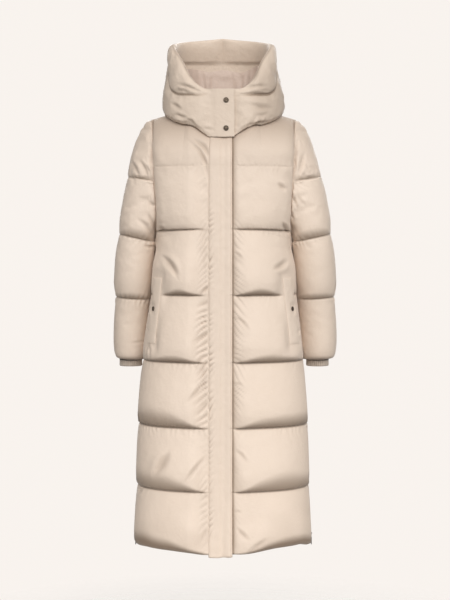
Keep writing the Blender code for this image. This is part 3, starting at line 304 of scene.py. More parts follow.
# Where a column of a panel ends: 0 to 1 along the neckline, then 1 to 2 along the shoulder seam.
FRONT_ENDS = Table(
    ("share", "end"), (0, 0), (0.05, 0.13), (0.19, 0.48), (0.31, 0.78), (0.44, 1), (0.50, 1.11),
    (0.575, 1.24), (0.65, 1.38), (0.82, 1.72), (1, 2),
)
BACK_ENDS = Table(
    ("share", "end"), (0, 0), (0.15, 0.33), (0.30, 0.66), (0.45, 1), (0.64, 1.35), (0.82, 1.7), (1, 2)
)
FRONT_CORNER = 0.44  # the column that ends at the corner of neckline and shoulder seam
BACK_CORNER = 0.45
POCKET_LEAN = Table(("z", "share"), (-0.90, 0.0), (-0.639, 0.085), (-0.458, 0.045), (-0.30, 0.0))
ROLL_AT_NECK_FRONT = 55
ROLL_AT_NECK_BACK = 64
ROLL_AT_SHOULDER = 66

# ---------------------------------------------------------------- how fine the grids are

CHANNEL_ROWS = 28  # rows in one channel of the body
SLEEVE_ROWS = 26
SLEEVE_COLUMNS = 88
TOP_ROWS = 28
PANEL_COLUMNS = (22, 26)  # up to the corner of neckline and shoulder, and from there on
PLACKET_STEP = 0.009  # the distance between a front's columns beside the placket
TOP_CHANNEL_HEIGHT = 0.16
TOP_CHANNEL = len(QUILT_Z) - 1
EVEN_CHANNEL = 0.5  # 1 spaces a channel's rows evenly, and less crowds them at the stitched lines

# ---------------------------------------------------------------- how full the cloth is, and how much shade is painted on it

PAD_FULL = 0.24  # how full the right front is beside the placket
SHADE_LINE = 0.62  # how much shade is painted on a stitched line: 1 is the darkest that the cloth gets
SHADE_ABOVE = 0.0045  # how far the shade painted at a seam reaches above it, below it and beside an edge
SHADE_BELOW = 0.0012
SHADE_STEP = 0.8
SHADE_EDGE = 0.0022
SHADE_FROM_PLACKET = (0.004, 0.022)
SHADE_ARMHOLE = 0.06  # of an edge's painted shade, above the armpit
UNDER_SHADE = 0.70  # how much shade is painted on the underside of the down, beside a seam's own painted shade
UNDER_FADE = (0.25, 1.15)  # where that shade ends, in heights of the underside
HEM_UNDER_SHADE = 0.95  # the shade painted on the hem's own underside is the darkest, and it ends softer
HEM_UNDER_FADE = (0.35, 1.3)
NEAR_HOOD_Z = (-0.205, -0.125)  # the hood's shadow is painted on the chest from the first height up to the second
NEAR_HOOD_SHADE = 0.14
UNDER_HOOD_Z = (-0.125, -0.045)
UNDER_HOOD_SHADE = 0.34  # how much of the hood's shadow is painted on the shoulders right under it

# ---------------------------------------------------------------- numbers, lines and grids


def signed_power(value, power):
    return math.copysign(abs(value) ** power, value)


def unit(vector):
    vector = np.asarray(vector, float)
    return vector / max(float(np.linalg.norm(vector)), 1e-12)


def smooth(value, low, high):
    """0 below low, 1 above high, and smooth between."""
    t = np.clip((value - low) / (high - low), 0.0, 1.0)
    return t * t * (3 - 2 * t)


def soft_rise(distance, reach=SOFT_EDGE):
    """How full the down is at a distance from a seam: a quarter circle, then level."""
    t = np.clip(distance / reach, 0.0, 1.0)
    return np.sqrt(1 - (1 - t) ** 2)


def ring(angle, half_width, front, back, power):
    """A point of a rounded ring round the body's axis. Angle 0 is the front and 90 is +X."""
    s, c = math.sin(math.radians(angle)), math.cos(math.radians(angle))
    depth = front if c > 0 else back
    return half_width * signed_power(s, 2 / power), -depth * signed_power(c, 2 / power)


def lengths_along(line):
    """How far each point of a polyline is along it."""
    return np.concatenate([[0], np.cumsum(np.linalg.norm(np.diff(line, axis=0), axis=1))])


def read_line(distances, lengths, line):
    """The values at these distances along a polyline whose points are at these lengths."""
    return np.stack([np.interp(distances, lengths, line[:, k]) for k in range(3)], axis=-1)


def along(line, distances):
    """Points at these distances along a polyline, and its length."""
    line = np.asarray(line, float)
    lengths = lengths_along(line)
    return read_line(distances, lengths, line), lengths[-1]


def unit_ways(ways):
    """A grid of directions, each made one long."""
    return ways / np.maximum(np.linalg.norm(ways, axis=-1, keepdims=True), 1e-12)


def spaced(rows):
    """Shares of a channel, from 0 up to but not at 1, crowded at both ends."""
    t = np.arange(rows) / rows
    return EVEN_CHANNEL * t + (1 - EVEN_CHANNEL) * (1 - np.cos(math.pi * t)) / 2


def grid_normals(points, closed=False):
    """Unit normals of a grid, pointing away from the body's axis, or from the tube's own if it is closed."""
    if closed:
        around = np.roll(points, -1, axis=1) - np.roll(points, 1, axis=1)
        middle = points.mean(axis=1, keepdims=True)
    else:
        around = np.gradient(points, axis=1)
        middle = np.zeros((1, 1, 3))
    down = np.gradient(points, axis=0)
    normals = unit_ways(np.cross(around, down))
    outwards = (points - middle) * np.array([1, 1, 0]) + np.array([0, 0, 0.02])
    return normals * np.sign(np.sum(normals * outwards))


def flipped(points, side):
    return np.asarray(points, float) * np.array([side, 1, 1])


# ---------------------------------------------------------------- neckline and armhole


def neck_point(angle):
    x, y = ring(angle, NECK_HALF_WIDTH, NECK_FRONT, NECK_BACK, NECK_POWER)
    return np.array([x, y, NECK_HEIGHT.at(abs(angle)).z])


def neck_out(angle):
    """The way the neck seam's thickness points: halfway between outwards and up."""
    tangent = neck_point(angle + 0.5) - neck_point(angle - 0.5)
    level = unit([-tangent[1], tangent[0], 0])
    level *= np.sign(level @ neck_point(angle))
    return unit(level + [0, 0, 1]), level


def armhole(angle):
    """A point of the armhole and the way its seam's thickness points. Angle 0 is the armpit, 90 the front."""
    s, c = math.sin(math.radians(angle)), math.cos(math.radians(angle))
    rise, out = -signed_power(c, 2 / ARMHOLE_POWER), signed_power(s, 2 / ARMHOLE_POWER)
    half_height = (SHOULDER_Z - ARMPIT_Z) / 2
    lean = (ARMHOLE_TOP_X - ARMHOLE_LOW_X) / (SHOULDER_Z - ARMPIT_Z)
    z = ARMPIT_Z + half_height * (rise + 1)
    point = [ARMHOLE_LOW_X + lean * (z - ARMPIT_Z), -ARMHOLE_HALF_DEPTH * out, z]
    away_y = -signed_power(out, ARMHOLE_POWER - 1) / ARMHOLE_HALF_DEPTH
    away_z = signed_power(rise, ARMHOLE_POWER - 1) / half_height
    away = unit([0, away_y, away_z])
    return np.array(point), unit(away + [lean * away[2] + UNDERARM_OUT * smooth(-rise, 0.2, 1.0), 0, 0])


def armhole_angle(z, back):
    """The armhole's angle at a height, in front or behind."""
    half_height = (SHOULDER_Z - ARMPIT_Z) / 2
    rise = min(max((z - ARMPIT_Z) / half_height - 1, -1), 1)
    angle = math.degrees(math.acos(-signed_power(rise, ARMHOLE_POWER / 2)))
    return 360 - angle if back else angle


# ---------------------------------------------------------------- body panels


def body_rows():
    """The heights of the body's rows below its top channel."""
    rows = []
    for channel, (low, high) in enumerate(zip(QUILT_Z, QUILT_Z[1:])):
        for share in spaced(CHANNEL_ROWS):
            z = low + (high - low) * share
            if abs(z - ARMPIT_Z) < 0.003:
                z = ARMPIT_Z
                share = (z - low) / (high - low)
            rows.append(SimpleNamespace(z=z, share=share, hem=low == HEM_Z, channel=channel))
    return rows


def channel_height(channel):
    return QUILT_Z[channel + 1] - QUILT_Z[channel] if channel < TOP_CHANNEL else TOP_CHANNEL_HEIGHT


def section_line(z, back):
    """Half a section of the body, from its centre line round to the side seam or the armhole, at +X."""
    body = BODY.at(z)
    power = POWER_BACK if back else POWER_FRONT
    depth = body.back if back else body.front
    half_width, end = body.half_width, 90
    if z > ARMPIT_Z:
        edge = armhole(armhole_angle(z, back))[0]
        half_width = edge[0] / (1 - (abs(edge[1]) / depth) ** power) ** (1 / power)
        end = math.degrees(math.asin((edge[0] / half_width) ** (power / 2)))
    points = []
    for angle in np.linspace(0, end, 90):
        x, y = ring(angle, half_width, depth, depth, power)
        points.append([x, -y if back else y, z])
    return points


def shape_hem(points, share, lift):
    """Lowers the middle of the hem and lifts it beside that, and less of the rows above it."""
    across = points[:, 0] / points[-1, 0]
    kick = lift * smooth(across, 0.2, 0.65) * (1 - smooth(across, 0.85, 1.0))
    points[:, 2] += (kick - HEM_DIP * (1 - across**2)) * (1 - share)


def top_ends(ends, start_distances, back):
    """Where the columns end, on the neckline and then on the shoulder seam, and how far each has turned."""
    angles = np.linspace(180 if back else 0, 90, 60)
    neckline = [neck_point(a) for a in angles]
    length = along(neckline, [0])[1]
    first = start_distances[-1] if start_distances else 0
    wanted = list(start_distances) + [first + end * (length - first) for end in ends if end <= 1]
    points = list(along(neckline, wanted)[0])
    inner, outer = neck_point(90), armhole(180)[0]
    points += [inner + (outer - inner) * (end - 1) for end in ends if end > 1]
    at_neck = ROLL_AT_NECK_BACK if back else ROLL_AT_NECK_FRONT
    turns = [at_neck + (ROLL_AT_SHOULDER - at_neck) * smooth(p[0], 0.02, NECK_HALF_WIDTH) for p in points]
    return points, turns


def neck_distance(point, back):
    """How far a point is from the neckline."""
    angles = np.linspace(90, 180, 31) if back else np.linspace(0, 90, 31)
    return min(np.linalg.norm(neck_point(a) - point) for a in angles)


def neck_angle_of(point, back):
    """The angle of the neckline's nearest point."""
    angles = np.linspace(90, 180, 181) if back else np.linspace(0, 90, 181)
    return angles[int(np.argmin([np.linalg.norm(neck_point(a) - point) for a in angles]))]


def body_half(back, starts, shares, underside, lift=0.0, near_placket=None, placket_painted_shade=lambda d: 0.0):
    """Half a body panel at +X: rows from the hem up, columns from the centre out.

    It has the points of the lining and of the shell, the way the thickness points, which points are stitched,
    and how much shade is painted on each. near_placket gives the fill beside the placket by distance, and
    placket_painted_shade the shade painted there.
    """
    base = starts[-1] if starts else 0.0
    if starts:
        shares = shares[1:]
    low, high = POCKET_SHARES
    before, after, above = POCKET_SOFT
    pocket = [0.0 if back else smooth(s, POCKET_FROM, low) * (1 - smooth(s, high, 1.0)) for s in shares]
    under_welt = np.array([0.0] * len(starts) + [
        0.0 if back else smooth(s, low - before, low) * (1 - smooth(s, high, high + after)) for s in shares
    ])

    def wall(distances, length):
        return SEAM_WALL + (EDGE_WALL - SEAM_WALL) * (1 - smooth(length - distances, 0.0, EDGE_REACH))

    def line_depth(distances, length, line):
        """How deep a stitched line is drawn in along its length: 1 is all the way."""
        if line >= len(LINE_FULL):
            return np.ones(len(distances))
        inner_end = 0.0 if back else 1 - smooth(distances - base, 0.0, LINE_END)
        outer_end = 1 - smooth(length - distances, 0.0, LINE_END)
        ends = (1 - LINE_ENDS_FULL[line] * inner_end) * (1 - LINE_SIDES_FULL[line] * outer_end)
        return (1 - LINE_FULL[line]) * ends

    def drawn_in(distances, length, channel, share):
        low, high = (line_depth(distances, length, channel + k) for k in (0, 1))
        return low + (high - low) * smooth(share, *CHANNEL_MIDDLE)

    def fill(distances, length, margin, channel, share):
        down = 1 - (1 - CHANNEL.at(share).height) * drawn_in(distances, length, channel, share)
        edge = soft_rise(length - margin - distances)
        if back:
            return down * edge
        return near_placket(distances - base, down) * edge

    def bag(distances, length, channel, share):
        """How far the down bags out, and how much shade is painted on its underside."""
        apart, heights = underside[channel].T
        near = [np.interp(distances - base + step, apart, heights) for step in BAG_SPREAD]
        high = np.mean(near, axis=0)
        peak = np.maximum(high / channel_height(channel), 0.02)
        below = 1 - (1 - np.clip(share / peak, 0, 1)) ** BAG_ROUND
        above = 1 - smooth((share - peak) / (1 - peak), 0.0, 0.95)
        strength = np.sin(0.5 * np.pi * np.clip(high / BAG_FULL, 0, 1))
        out = np.minimum(below, above) * strength * smooth(length - distances, 0.0, BAG_SIDE)
        under = smooth(share / peak, *(UNDER_FADE if channel else HEM_UNDER_FADE))
        return out, (1 - under) * strength

    # painted shade: dark at the stitched lines, beside the edges and on the underside of the down
    def shade(distances, length, channel, share, under):
        whole = channel_height(channel)
        above = np.exp(-share * whole / SHADE_ABOVE) * drawn_in(distances, length, channel, share)
        below = SHADE_STEP * np.exp(-(1 - share) * whole / SHADE_BELOW)
        lines = SHADE_LINE * (above + below * drawn_in(distances, length, channel, share))
        if not back:
            lines = lines * smooth(distances - base, *SHADE_FROM_PLACKET)
        edges = SHADE_LINE * np.exp(-(length - distances) / SHADE_EDGE)
        edges = edges * (SHADE_ARMHOLE if channel == TOP_CHANNEL else 1.0)
        under = under * (UNDER_SHADE if channel else HEM_UNDER_SHADE)
        return np.clip(lines + under + edges + placket_painted_shade(distances - base), 0, 1)

    def row_at(z):
        line = section_line(z, back)
        length = along(line, [0])[1]
        lean = POCKET_LEAN.at(z).share
        moved = [share + lean * part for share, part in zip(shares, pocket)]
        distances = np.array(starts + [base + share * (length - base) for share in moved])
        return along(line, distances)[0], distances, length

    kept = []  # for each row: its points, fullness, bag, stitches, wall and painted shade
    columns = len(starts) + len(shares)
    for row in body_rows():
        margin = HOLE_MARGIN if row.z > ARMPIT_Z - 0.001 else SIDE_MARGIN
        points, distances, length = row_at(row.z)
        if row.hem:
            shape_hem(points, row.share, lift)
        far, near = UNDERARM_REACH
        under = smooth(distances, length - far, length - near) * np.interp(row.z, UNDERARM_ROWS, (0, 1, 0))
        under[-1] = 0
        points[:, 2] -= UNDERARM_DIP * under
        far, near = SIDE_REACH
        narrow = 1 - BESIDE_SLEEVES.at(row.z).less * smooth(distances, length - far, length - near)
        full = fill(distances, length, margin, row.channel, row.share) * narrow
        extra, under_side = bag(distances, length, row.channel, row.share)
        dark = shade(distances, length, row.channel, row.share, under_side)
        # painted shadow of the hood on the chest
        dark = np.clip(dark + NEAR_HOOD_SHADE * smooth(row.z, *NEAR_HOOD_Z), 0, 1)
        low, high = POCKET_Z
        flat = under_welt * smooth(row.z, low - above, low) * (1 - smooth(row.z, high, high + above))
        full += (POCKET_FULL - full) * flat
        stitched = (flat > 0.95) | ((row.share == 0) & (flat < 0.5))
        extra *= narrow * (1 - flat)
        kept.append((points, full, extra, stitched, wall(distances, length), dark * (1 - flat)))

    points, distances, length = row_at(QUILT_Z[-1])
    edge = wall(distances, length)
    full = fill(distances, length, HOLE_MARGIN, TOP_CHANNEL, 0.0)
    dark = shade(distances, length, TOP_CHANNEL, 0.0, 0.0)
    kept.append((points, full, np.zeros(columns), np.full(columns, True), edge, dark))
    table = BACK_ENDS if back else FRONT_ENDS
    ends, turns = top_ends([table.at(s).end for s in shares], starts, back)
    low_angle = armhole_angle(QUILT_Z[-1], back)
    turns = np.radians(turns)
    for share in list(spaced(TOP_ROWS)[1:]) + [1.0]:
        rise = (np.sin(turns * share) / np.sin(turns))[:, None]
        run = ((1 - np.cos(turns * share)) / (1 - np.cos(turns)))[:, None]
        parts = np.concatenate([np.full_like(rise, share), run, rise], axis=1)
        row = points + (np.array(ends) - points) * parts
        row[-1] = armhole(low_angle + (180 - low_angle) * share)[0]
        near_neck = [smooth(neck_distance(p, back), 0.0, NECK_SOFT_EDGE) for p in row]
        full = fill(distances, length, HOLE_MARGIN, TOP_CHANNEL, share) * near_neck
        extra = bag(distances, length, TOP_CHANNEL, share)[0] * near_neck
        # painted shadow of the hood, darkest right under it
        hooded = NEAR_HOOD_SHADE * smooth(row[:, 2], *NEAR_HOOD_Z)
        hooded = hooded + UNDER_HOOD_SHADE * smooth(row[:, 2], *UNDER_HOOD_Z)
        dark = np.clip(shade(distances, length, TOP_CHANNEL, share, 0.0) + hooded, 0, 1)
        thick = edge + (SEAM_WALL - edge) * smooth(share, 0.85, 1.0)
        kept.append((row, full, extra, np.full(columns, share == 1), thick, dark))

    grid, full, extra, sewn, wall, dark = (np.array(part) for part in zip(*kept))
    ways = grid_normals(grid)
    ways[0, :, 2] = 0
    ways[:, 0, 0] = 0
    side = 1 if back else -1
    for i, row in enumerate(grid):
        if row[-1][2] < ARMPIT_Z - 1e-6:
            ways[i, -1] = (1, 0, 0)
            grid[i, -1, 1] += side * SEAM_GAP / 2
        else:
            ways[i, -1] = armhole(armhole_angle(row[-1][2], back))[1]
            grid[i, -1, 0] -= SEAM_GAP / 2
    for j, point in enumerate(grid[-1]):
        on_neck = point[0] <= NECK_HALF_WIDTH + 1e-6
        ways[-1, j] = neck_out(neck_angle_of(point, back))[0] if on_neck else (0, 0, 1)
        if point[0] >= NECK_HALF_WIDTH - 1e-6:
            grid[-1, j, 1] += side * SEAM_GAP / 2
    ways = unit_ways(ways)
    sewn[:, -1] = True
    sewn[:, : len(starts)] = True
    shell = shell_of(grid, ways, full, BODY_PUFF, wall, extra)
    return SimpleNamespace(lining=grid, ways=ways, sewn=sewn, shell=shell, shade=dark)


def shell_of(grid, ways, fullness, puff, wall, extra=0.0):
    """The shell's points: the lining's, moved out by the wall and by the down, which hangs low."""
    out = grid + ways * (wall + puff * fullness)[:, :, None]
    out += ways * (BAG_DEPTH * extra * ways[:, :, 1] ** 2)[:, :, None]
    out[:, :, 2] -= SAG * fullness + BAG_SAG * extra
    return out


def beside_right(distance, down):
    """The sewn side of the placket: a low, even pad, and then the channels."""
    pad = PAD_FULL * soft_rise(distance + PLACKET_RIGHT - FRONT_EDGE, 0.012)
    return pad + (down - pad) * smooth(distance, 0.010, 0.055)


def beside_left(distance, down):
    """The free side of the placket: the channels begin at once."""
    pad = 0.5 * PAD_FULL * soft_rise(distance + PLACKET_LEFT - FRONT_EDGE, 0.012)
    return pad * smooth(-distance, 0.0, 0.004) + down * soft_rise(distance - 0.002, 0.016)


def groove_painted_shade(distance):
    """Painted shade in the groove along the placket's free edge."""
    return smooth(distance, -0.004, -0.0005) * (1 - smooth(distance, 0.0008, 0.0045))


def column_shares(corner):
    """The shares of a panel's columns, with one of them at the corner of neckline and shoulder."""
    inner, outer = PANEL_COLUMNS
    return np.concatenate([np.linspace(0, corner, inner), np.linspace(corner, 1, outer)[1:]])


def front_panel(placket, lift, underside, *beside):
    """A front at +X, and the columns where its placket and its welt are."""
    starts = list(np.linspace(FRONT_EDGE, placket, 2 + round((placket - FRONT_EDGE) / PLACKET_STEP)))
    shares = column_shares(FRONT_CORNER)
    made = body_half(False, starts, shares, underside, lift, *beside)
    made.placket = len(starts) - 1
    ends = np.array(POCKET_SHARES) + (-WELT_SPARE, WELT_SPARE)
    made.welt = slice(*(made.placket + np.searchsorted(shares, ends)))
    return made


# ---------------------------------------------------------------- collar and hood


def neck_seam(right, left, back):
    """The panels' own corners round the neck, by angle: what is sewn on there starts from them."""
    corners = []
    for panel, side in ((right, -1), (left, 1), (back, -1), (back, 1)):
        for lining, shell in zip(panel.lining[-1], panel.shell[-1]):
            if lining[0] > NECK_HALF_WIDTH + 1e-6 or (panel is back and lining[0] > NECK_HALF_WIDTH - 1e-6):
                continue
            angle = side * neck_angle_of(lining, panel is back)
            if abs(angle) < 179.9 or side > 0:
                corners.append((angle, *flipped(lining, side), *flipped(shell, side)))
    table = np.array(sorted(corners))
    first = np.array([-180.0, *table[-1, 1:]])
    return np.vstack([first, table])


def on_neck(seam, angle):
    """The lining's and the shell's point of the neck seam at an angle."""
    values = [np.interp(angle, seam[:, 0], seam[:, k]) for k in range(1, 7)]
    return np.array(values[:3]), np.array(values[3:])


def collar_point(base, angle, share):
    """The collar's lining side: share 0 is the neck seam and 1 the top edge."""
    x, y = ring(angle, COLLAR_HALF_WIDTH, COLLAR_FRONT, COLLAR_BACK, COLLAR_POWER)
    back = smooth(abs(angle), *COLLAR_RISE)
    top = np.array([x, y, COLLAR_TOP_FRONT + (COLLAR_TOP_BACK - COLLAR_TOP_FRONT) * back])
    bow = COLLAR_BOW * math.sin(math.pi * share) ** 2
    return base + (top - base) * share + neck_out(angle)[1] * bow


def collar_grids(seam):
    """The collar's two sides, from its left front end round the back to its right front end."""
    ends = [a for a in seam[:, 0] if 0 < abs(a) < 30]
    left_end, right_end = min(a for a in ends if a > 0), max(a for a in ends if a < 0)
    angles = np.concatenate([np.linspace(left_end, 180, 40), np.linspace(-176, right_end, 39)])
    shares = [0.0, 0.08, *np.linspace(0.16, 0.92, 9), 1.0]
    inner, outer = [], []
    for share in shares:
        for angle in angles:
            lining, shell = on_neck(seam, angle)
            level = neck_out(angle)[1]
            puff = math.sin(math.pi * share) ** 2 * soft_rise(abs(angle) - 8, 16)
            if share == 0:
                lift = unit(np.array([0, 0, 1.0]) - level) * COLLAR_GAP
                inner.append(lining + lift)
                outer.append(lining + (shell - lining) * (COLLAR_WALL / SEAM_WALL) + lift)
            else:
                point = collar_point(lining, angle, share)
                inner.append(point)
                outer.append(point + level * (COLLAR_WALL + COLLAR_PUFF * puff))
    shape = (len(shares), len(angles), 3)
    inner, outer = np.array(inner).reshape(shape), np.array(outer).reshape(shape)
    for grid in (inner, outer):
        grid[:, 0, 0] = FRONT_EDGE
        grid[:, -1, 0] = -FRONT_EDGE
    return inner, outer


class Ground:
    """The body's outer side, to lay the hood's lower edge on."""

    def __init__(self, panels):
        points, faces = [], []
        for panel, side in panels:
            rows, columns = panel.shell.shape[:2]
            first = len(points)
            points += [tuple(p) for p in flipped(panel.shell, side).reshape(-1, 3)]
            for i in range(rows - 1):
                for j in range(columns - 1):
                    a = first + i * columns + j
                    faces += [(a, a + 1, a + columns + 1), (a, a + columns + 1, a + columns)]
        self.tree = BVHTree.FromPolygons(points, faces)

    def height(self, x, y, reach):
        found = [-1.0]
        for dx in (-reach, 0.0, reach):
            for dy in (-reach, 0.0, reach):
                hit = self.tree.ray_cast((x + dx, y + dy, 0.3), (0, 0, -1))[0]
                if hit:
                    found.append(hit.z)
        return max(found)


def hood_side(angle, z, lap):
    """A point of the hood's lining side, and the way out from it."""
    row = HOOD.at(z)
    here, ahead, behind = (
        np.array(ring(a, row.half_width, row.front, row.back, HOOD_POWER))
        for a in (angle, angle + 0.5, angle - 0.5)
    )
    tangent = ahead - behind
    out = unit([-tangent[1], tangent[0], 0])
    out *= np.sign(out[:2] @ here)
    return np.array([here[0] + row.x, here[1], z]) + out * lap, out


HOOD_UNDER_SHARES = (0.0, 0.2, 0.4, 0.6, 0.8)
HOOD_BAND_SHARES = (0.10, 0.15, 0.21, 0.28, 0.35, 0.43, 0.51, 0.59, 0.67, 0.75, 0.83, 0.90, 0.96, 1.0)
HOOD_BRIM_SHARES = (0.05, 0.12, 0.20, 0.29, 0.38, 0.47, 0.56, 0.65, 0.74, 0.82, 0.90, 0.96, 1.0)
HOOD_SEAM_LAP = 0.0002  # the hood's halves meet so close that no light comes through
HOOD_SEAM_FULL = 0.50  # how full the hood stays at that seam
HOOD_SEAM_ROW = len(HOOD_UNDER_SHARES) + len(HOOD_BAND_SHARES)  # the row of the seam under the brim


def hood_column(angle, lap, seam, ground):
    """One column of a hood half, from the neck seam out under its edge and up to the rim."""
    edges = HOOD_EDGES.at(abs(angle))
    inner, outer = [], []

    def add(point, way, thickness, sag=0.0):
        inner.append(np.array(point))
        outer.append(point + way * thickness - np.array([0, 0, sag]))

    full = soft_rise(abs(angle) - HOOD_FLAT_END, HOOD_SOFT_EDGE) * soft_rise(180 - abs(angle), HOOD_SOFT_EDGE)
    edge, out = hood_side(angle, edges.bottom, lap)
    lip = edge + out * SEAM_WALL
    edge_z = max(edges.bottom, ground.height(*lip[:2], HOOD_REACH) + HOOD_OVER_BODY)
    hangs = abs(angle) < HOOD_ENDS_HANG
    start = on_neck(seam, angle)[1] + neck_out(angle)[1] * HOOD_FOOT
    start += (edge - start) * (1 - smooth(abs(angle), HOOD_ENDS_HANG - 5, HOOD_ENDS_HANG + 5)) * 0.97
    for share in HOOD_UNDER_SHARES:
        point = start + (edge - start) * share
        if hangs:
            low = edge_z + HOOD_UNDER_WALL / 2
        elif share == 0:
            low = ground.height(*point[:2], HOOD_FOOT_REACH.at(abs(angle)).reach) + SEAM_GAP
        else:
            line = start[2] + (edge_z - start[2]) * share
            low = max(line, ground.height(*point[:2], HOOD_REACH) + HOOD_OVER_BODY)
        add([point[0], point[1], low + HOOD_UNDER_WALL], np.array([0, 0, -1.0]), HOOD_UNDER_WALL)
    inner.append(np.array([edge[0], edge[1], edge_z + 2 * HOOD_UNDER_WALL]))
    outer.append(np.array([edge[0], edge[1], edge_z]) + out * SEAM_WALL * (1 + full))

    for share in HOOD_BAND_SHARES:
        low = edge_z + 2 * HOOD_UNDER_WALL + 0.001 * (1 + share)
        z = max(edge_z + (edges.seam - edge_z) * share, low)
        height = HOOD_SEAM_FULL + (1 - HOOD_SEAM_FULL) * CHANNEL.at(share).height if share > 0.14 else 0.75
        point, out = hood_side(angle, z, lap)
        add(point, out, SEAM_WALL + HOOD_PUFF * height * full, SAG * height * full)
    brim = edges.rim - edges.seam
    roll = smooth(brim, 0.015, 0.05)
    for share in HOOD_BRIM_SHARES:
        round_over = math.sqrt(max(1 - (2 * share - 1) ** 2, 0))
        floor = HOOD_SEAM_FULL * (1 - smooth(share, 0.2, 0.9))
        height = (floor + (1 - floor) * round_over) * full * (floor + (1 - floor) * roll)
        point, out = hood_side(angle, edges.seam + brim * share, lap)
        inside = HOOD_BRIM_INSIDE * height * smooth(abs(angle), 40, 95)
        add(point - out * inside, out, inside + SEAM_WALL + HOOD_PUFF * height)
    if abs(angle) == 180:
        for point in inner + outer:
            point[0] = HOOD.at(point[2]).x - math.copysign(HOOD_SEAM_LAP, angle)
    return inner, outer


def hood_grids(side, end, seam, ground):
    turns = np.concatenate([np.linspace(end, 30, 12), np.linspace(34, 180, 46)])
    columns = []
    for turn in turns:
        lap = THROAT_LAP * (1 - smooth(turn, 5, 16)) if side < 0 else 0.0
        columns.append(hood_column(side * turn, lap, seam, ground))
    inner = np.swapaxes(np.array([c[0] for c in columns]), 0, 1)
    outer = np.swapaxes(np.array([c[1] for c in columns]), 0, 1)
    return inner, outer, turns


# ---------------------------------------------------------------- sleeves


def tube_point(angle, z):
    row = SLEEVE.at(z)
    s, c = math.sin(math.radians(angle)), math.cos(math.radians(angle))
    x = row.x - row.half_width * signed_power(c, 2 / SLEEVE_POWER)
    y = row.y - row.half_depth * signed_power(s, 2 / SLEEVE_POWER)
    return np.array([x, y, z])


def sleeve_point(angle, z):
    """The sleeve's lining side at +X. Angle 0 faces the body and 90 is the front, as on the armhole."""
    start = armhole(angle)[0]
    z = min(z, start[2])
    inside = smooth((1 + math.cos(math.radians(angle))) / 2, 0.5, 0.95)
    reach = SLEEVE_BLEND_OUTSIDE + (SLEEVE_BLEND_INSIDE - SLEEVE_BLEND_OUTSIDE) * inside
    fade = math.exp(-(((start[2] - z) / reach) ** 2))
    return tube_point(angle, z) + (start - tube_point(angle, start[2])) * fade


def hang_out(side, z, inner_side):
    """How far a sleeve hangs away from the body."""
    spread = 1 - SLEEVE_SPREAD * inner_side
    return np.array([SLEEVE_OUT[side] * smooth(-z, 0.10, 0.23) * spread, 0, 0])


def sleeve_grids(side):
    """A sleeve at +X: rows from the armhole down, columns round it, and the shade painted on it."""
    angles = np.arange(SLEEVE_COLUMNS) * 360 / SLEEVE_COLUMNS
    kept = []  # for each column: its points, fullness, stitches, painted shade and bag
    for angle in angles:
        start = armhole(angle)[0]
        inner_side = (1 + math.cos(math.radians(angle))) / 2
        lines = [start[2]]
        for line in SLEEVE_LINES:
            lines.append(min(lines[-1] - SLEEVE_LEAST, line.outer + (line.inner - line.outer) * inner_side))
        lines[-1] = SLEEVE_LINES[-1].outer
        column, full, stitched, floors = [start + [SEAM_GAP / 2, 0, 0]], [0.0], [True], []
        dark, bags = [SLEEVE_SEAM_SHADE * SHADE_LINE], [0.0]
        narrow = 1 - SLEEVE_INSIDE_FLAT * inner_side**2
        for high, low in zip(lines, lines[1:]):
            room = smooth(high - low, 0.0, 0.09)
            least = SLEEVE_LINE_FULL[len(floors)], SLEEVE_LINE_FULL[len(floors) + 1]
            floors.append(least)
            for share in spaced(SLEEVE_ROWS)[::-1]:
                z = low + (high - low) * share
                hang = hang_out(side, z, inner_side) * smooth(start[2] - z, 0.0, 0.06)
                column.append(sleeve_point(angle, z) + hang)
                floor = least[1] + (least[0] - least[1]) * share
                floor += (1 - floor) * SLEEVE_INSIDE_FULL * inner_side
                height = floor + (1 - floor) * CHANNEL.at(share).height
                rise = share * (high - low)
                # painted shade: at the stitched lines and the armhole, on the down's undersides and under the
                # hood
                near = np.exp(-rise / SHADE_ABOVE) + SHADE_STEP * np.exp(-(high - low - rise) / SHADE_BELOW)
                seam_near = SLEEVE_SEAM_SHADE * np.exp(-(start[2] - z) / SHADE_EDGE)
                facing = max(math.sin(math.radians(angle)), 0.0)
                peak = SLEEVE_UNDERSIDES[len(floors) - 1] * facing / max(high - low, 0.01) + 0.02
                under = (1 - smooth(share / peak, *UNDER_FADE)) * facing * room
                hooded = SLEEVE_NEAR_HOOD_SHADOW * smooth(z, *NEAR_HOOD_Z)
                hooded += SLEEVE_UNDER_HOOD_SHADOW * smooth(z, *UNDER_HOOD_Z)
                near = SHADE_LINE * (near * (1 - floor) * room + seam_near)
                dark.append(min(near + UNDER_SHADE * under + hooded, 1.0))
                below = 1 - (1 - min(share / peak, 1)) ** BAG_ROUND
                bags.append(min(below, 1 - smooth((share - peak) / (1 - peak), 0.0, 0.9)) * facing * room)
                full.append(height * room * narrow * soft_rise(start[2] - z, 0.03))
                stitched.append(share == 0 or high - low < 0.05)
        kept.append((column, full, stitched, dark, bags))
    grid, full, sewn, dark, bags = (np.swapaxes(np.array(part), 0, 1) for part in zip(*kept))
    ways = grid_normals(grid, closed=True)
    for j, angle in enumerate(angles):
        start, seam_way = armhole(angle)
        near_seam = np.exp(-(start[2] - grid[:, j, 2]) / 0.010)[:, None]
        ways[:, j] = ways[:, j] * (1 - near_seam) + seam_way * near_seam
    ways[-1, :, 2] = SLEEVE_END_WAY
    ways = unit_ways(ways)
    wall = SEAM_WALL + (EDGE_WALL - SEAM_WALL) * np.exp(-(grid[:1, :, 2] - grid[:, :, 2]) / EDGE_REACH)
    shell = shell_of(grid, ways, full, SLEEVE_PUFF, wall, SLEEVE_BAG * bags)
    return SimpleNamespace(lining=grid, ways=ways, sewn=sewn, side=side, shell=shell, shade=dark)


# ---------------------------------------------------------------- from grids to pieces


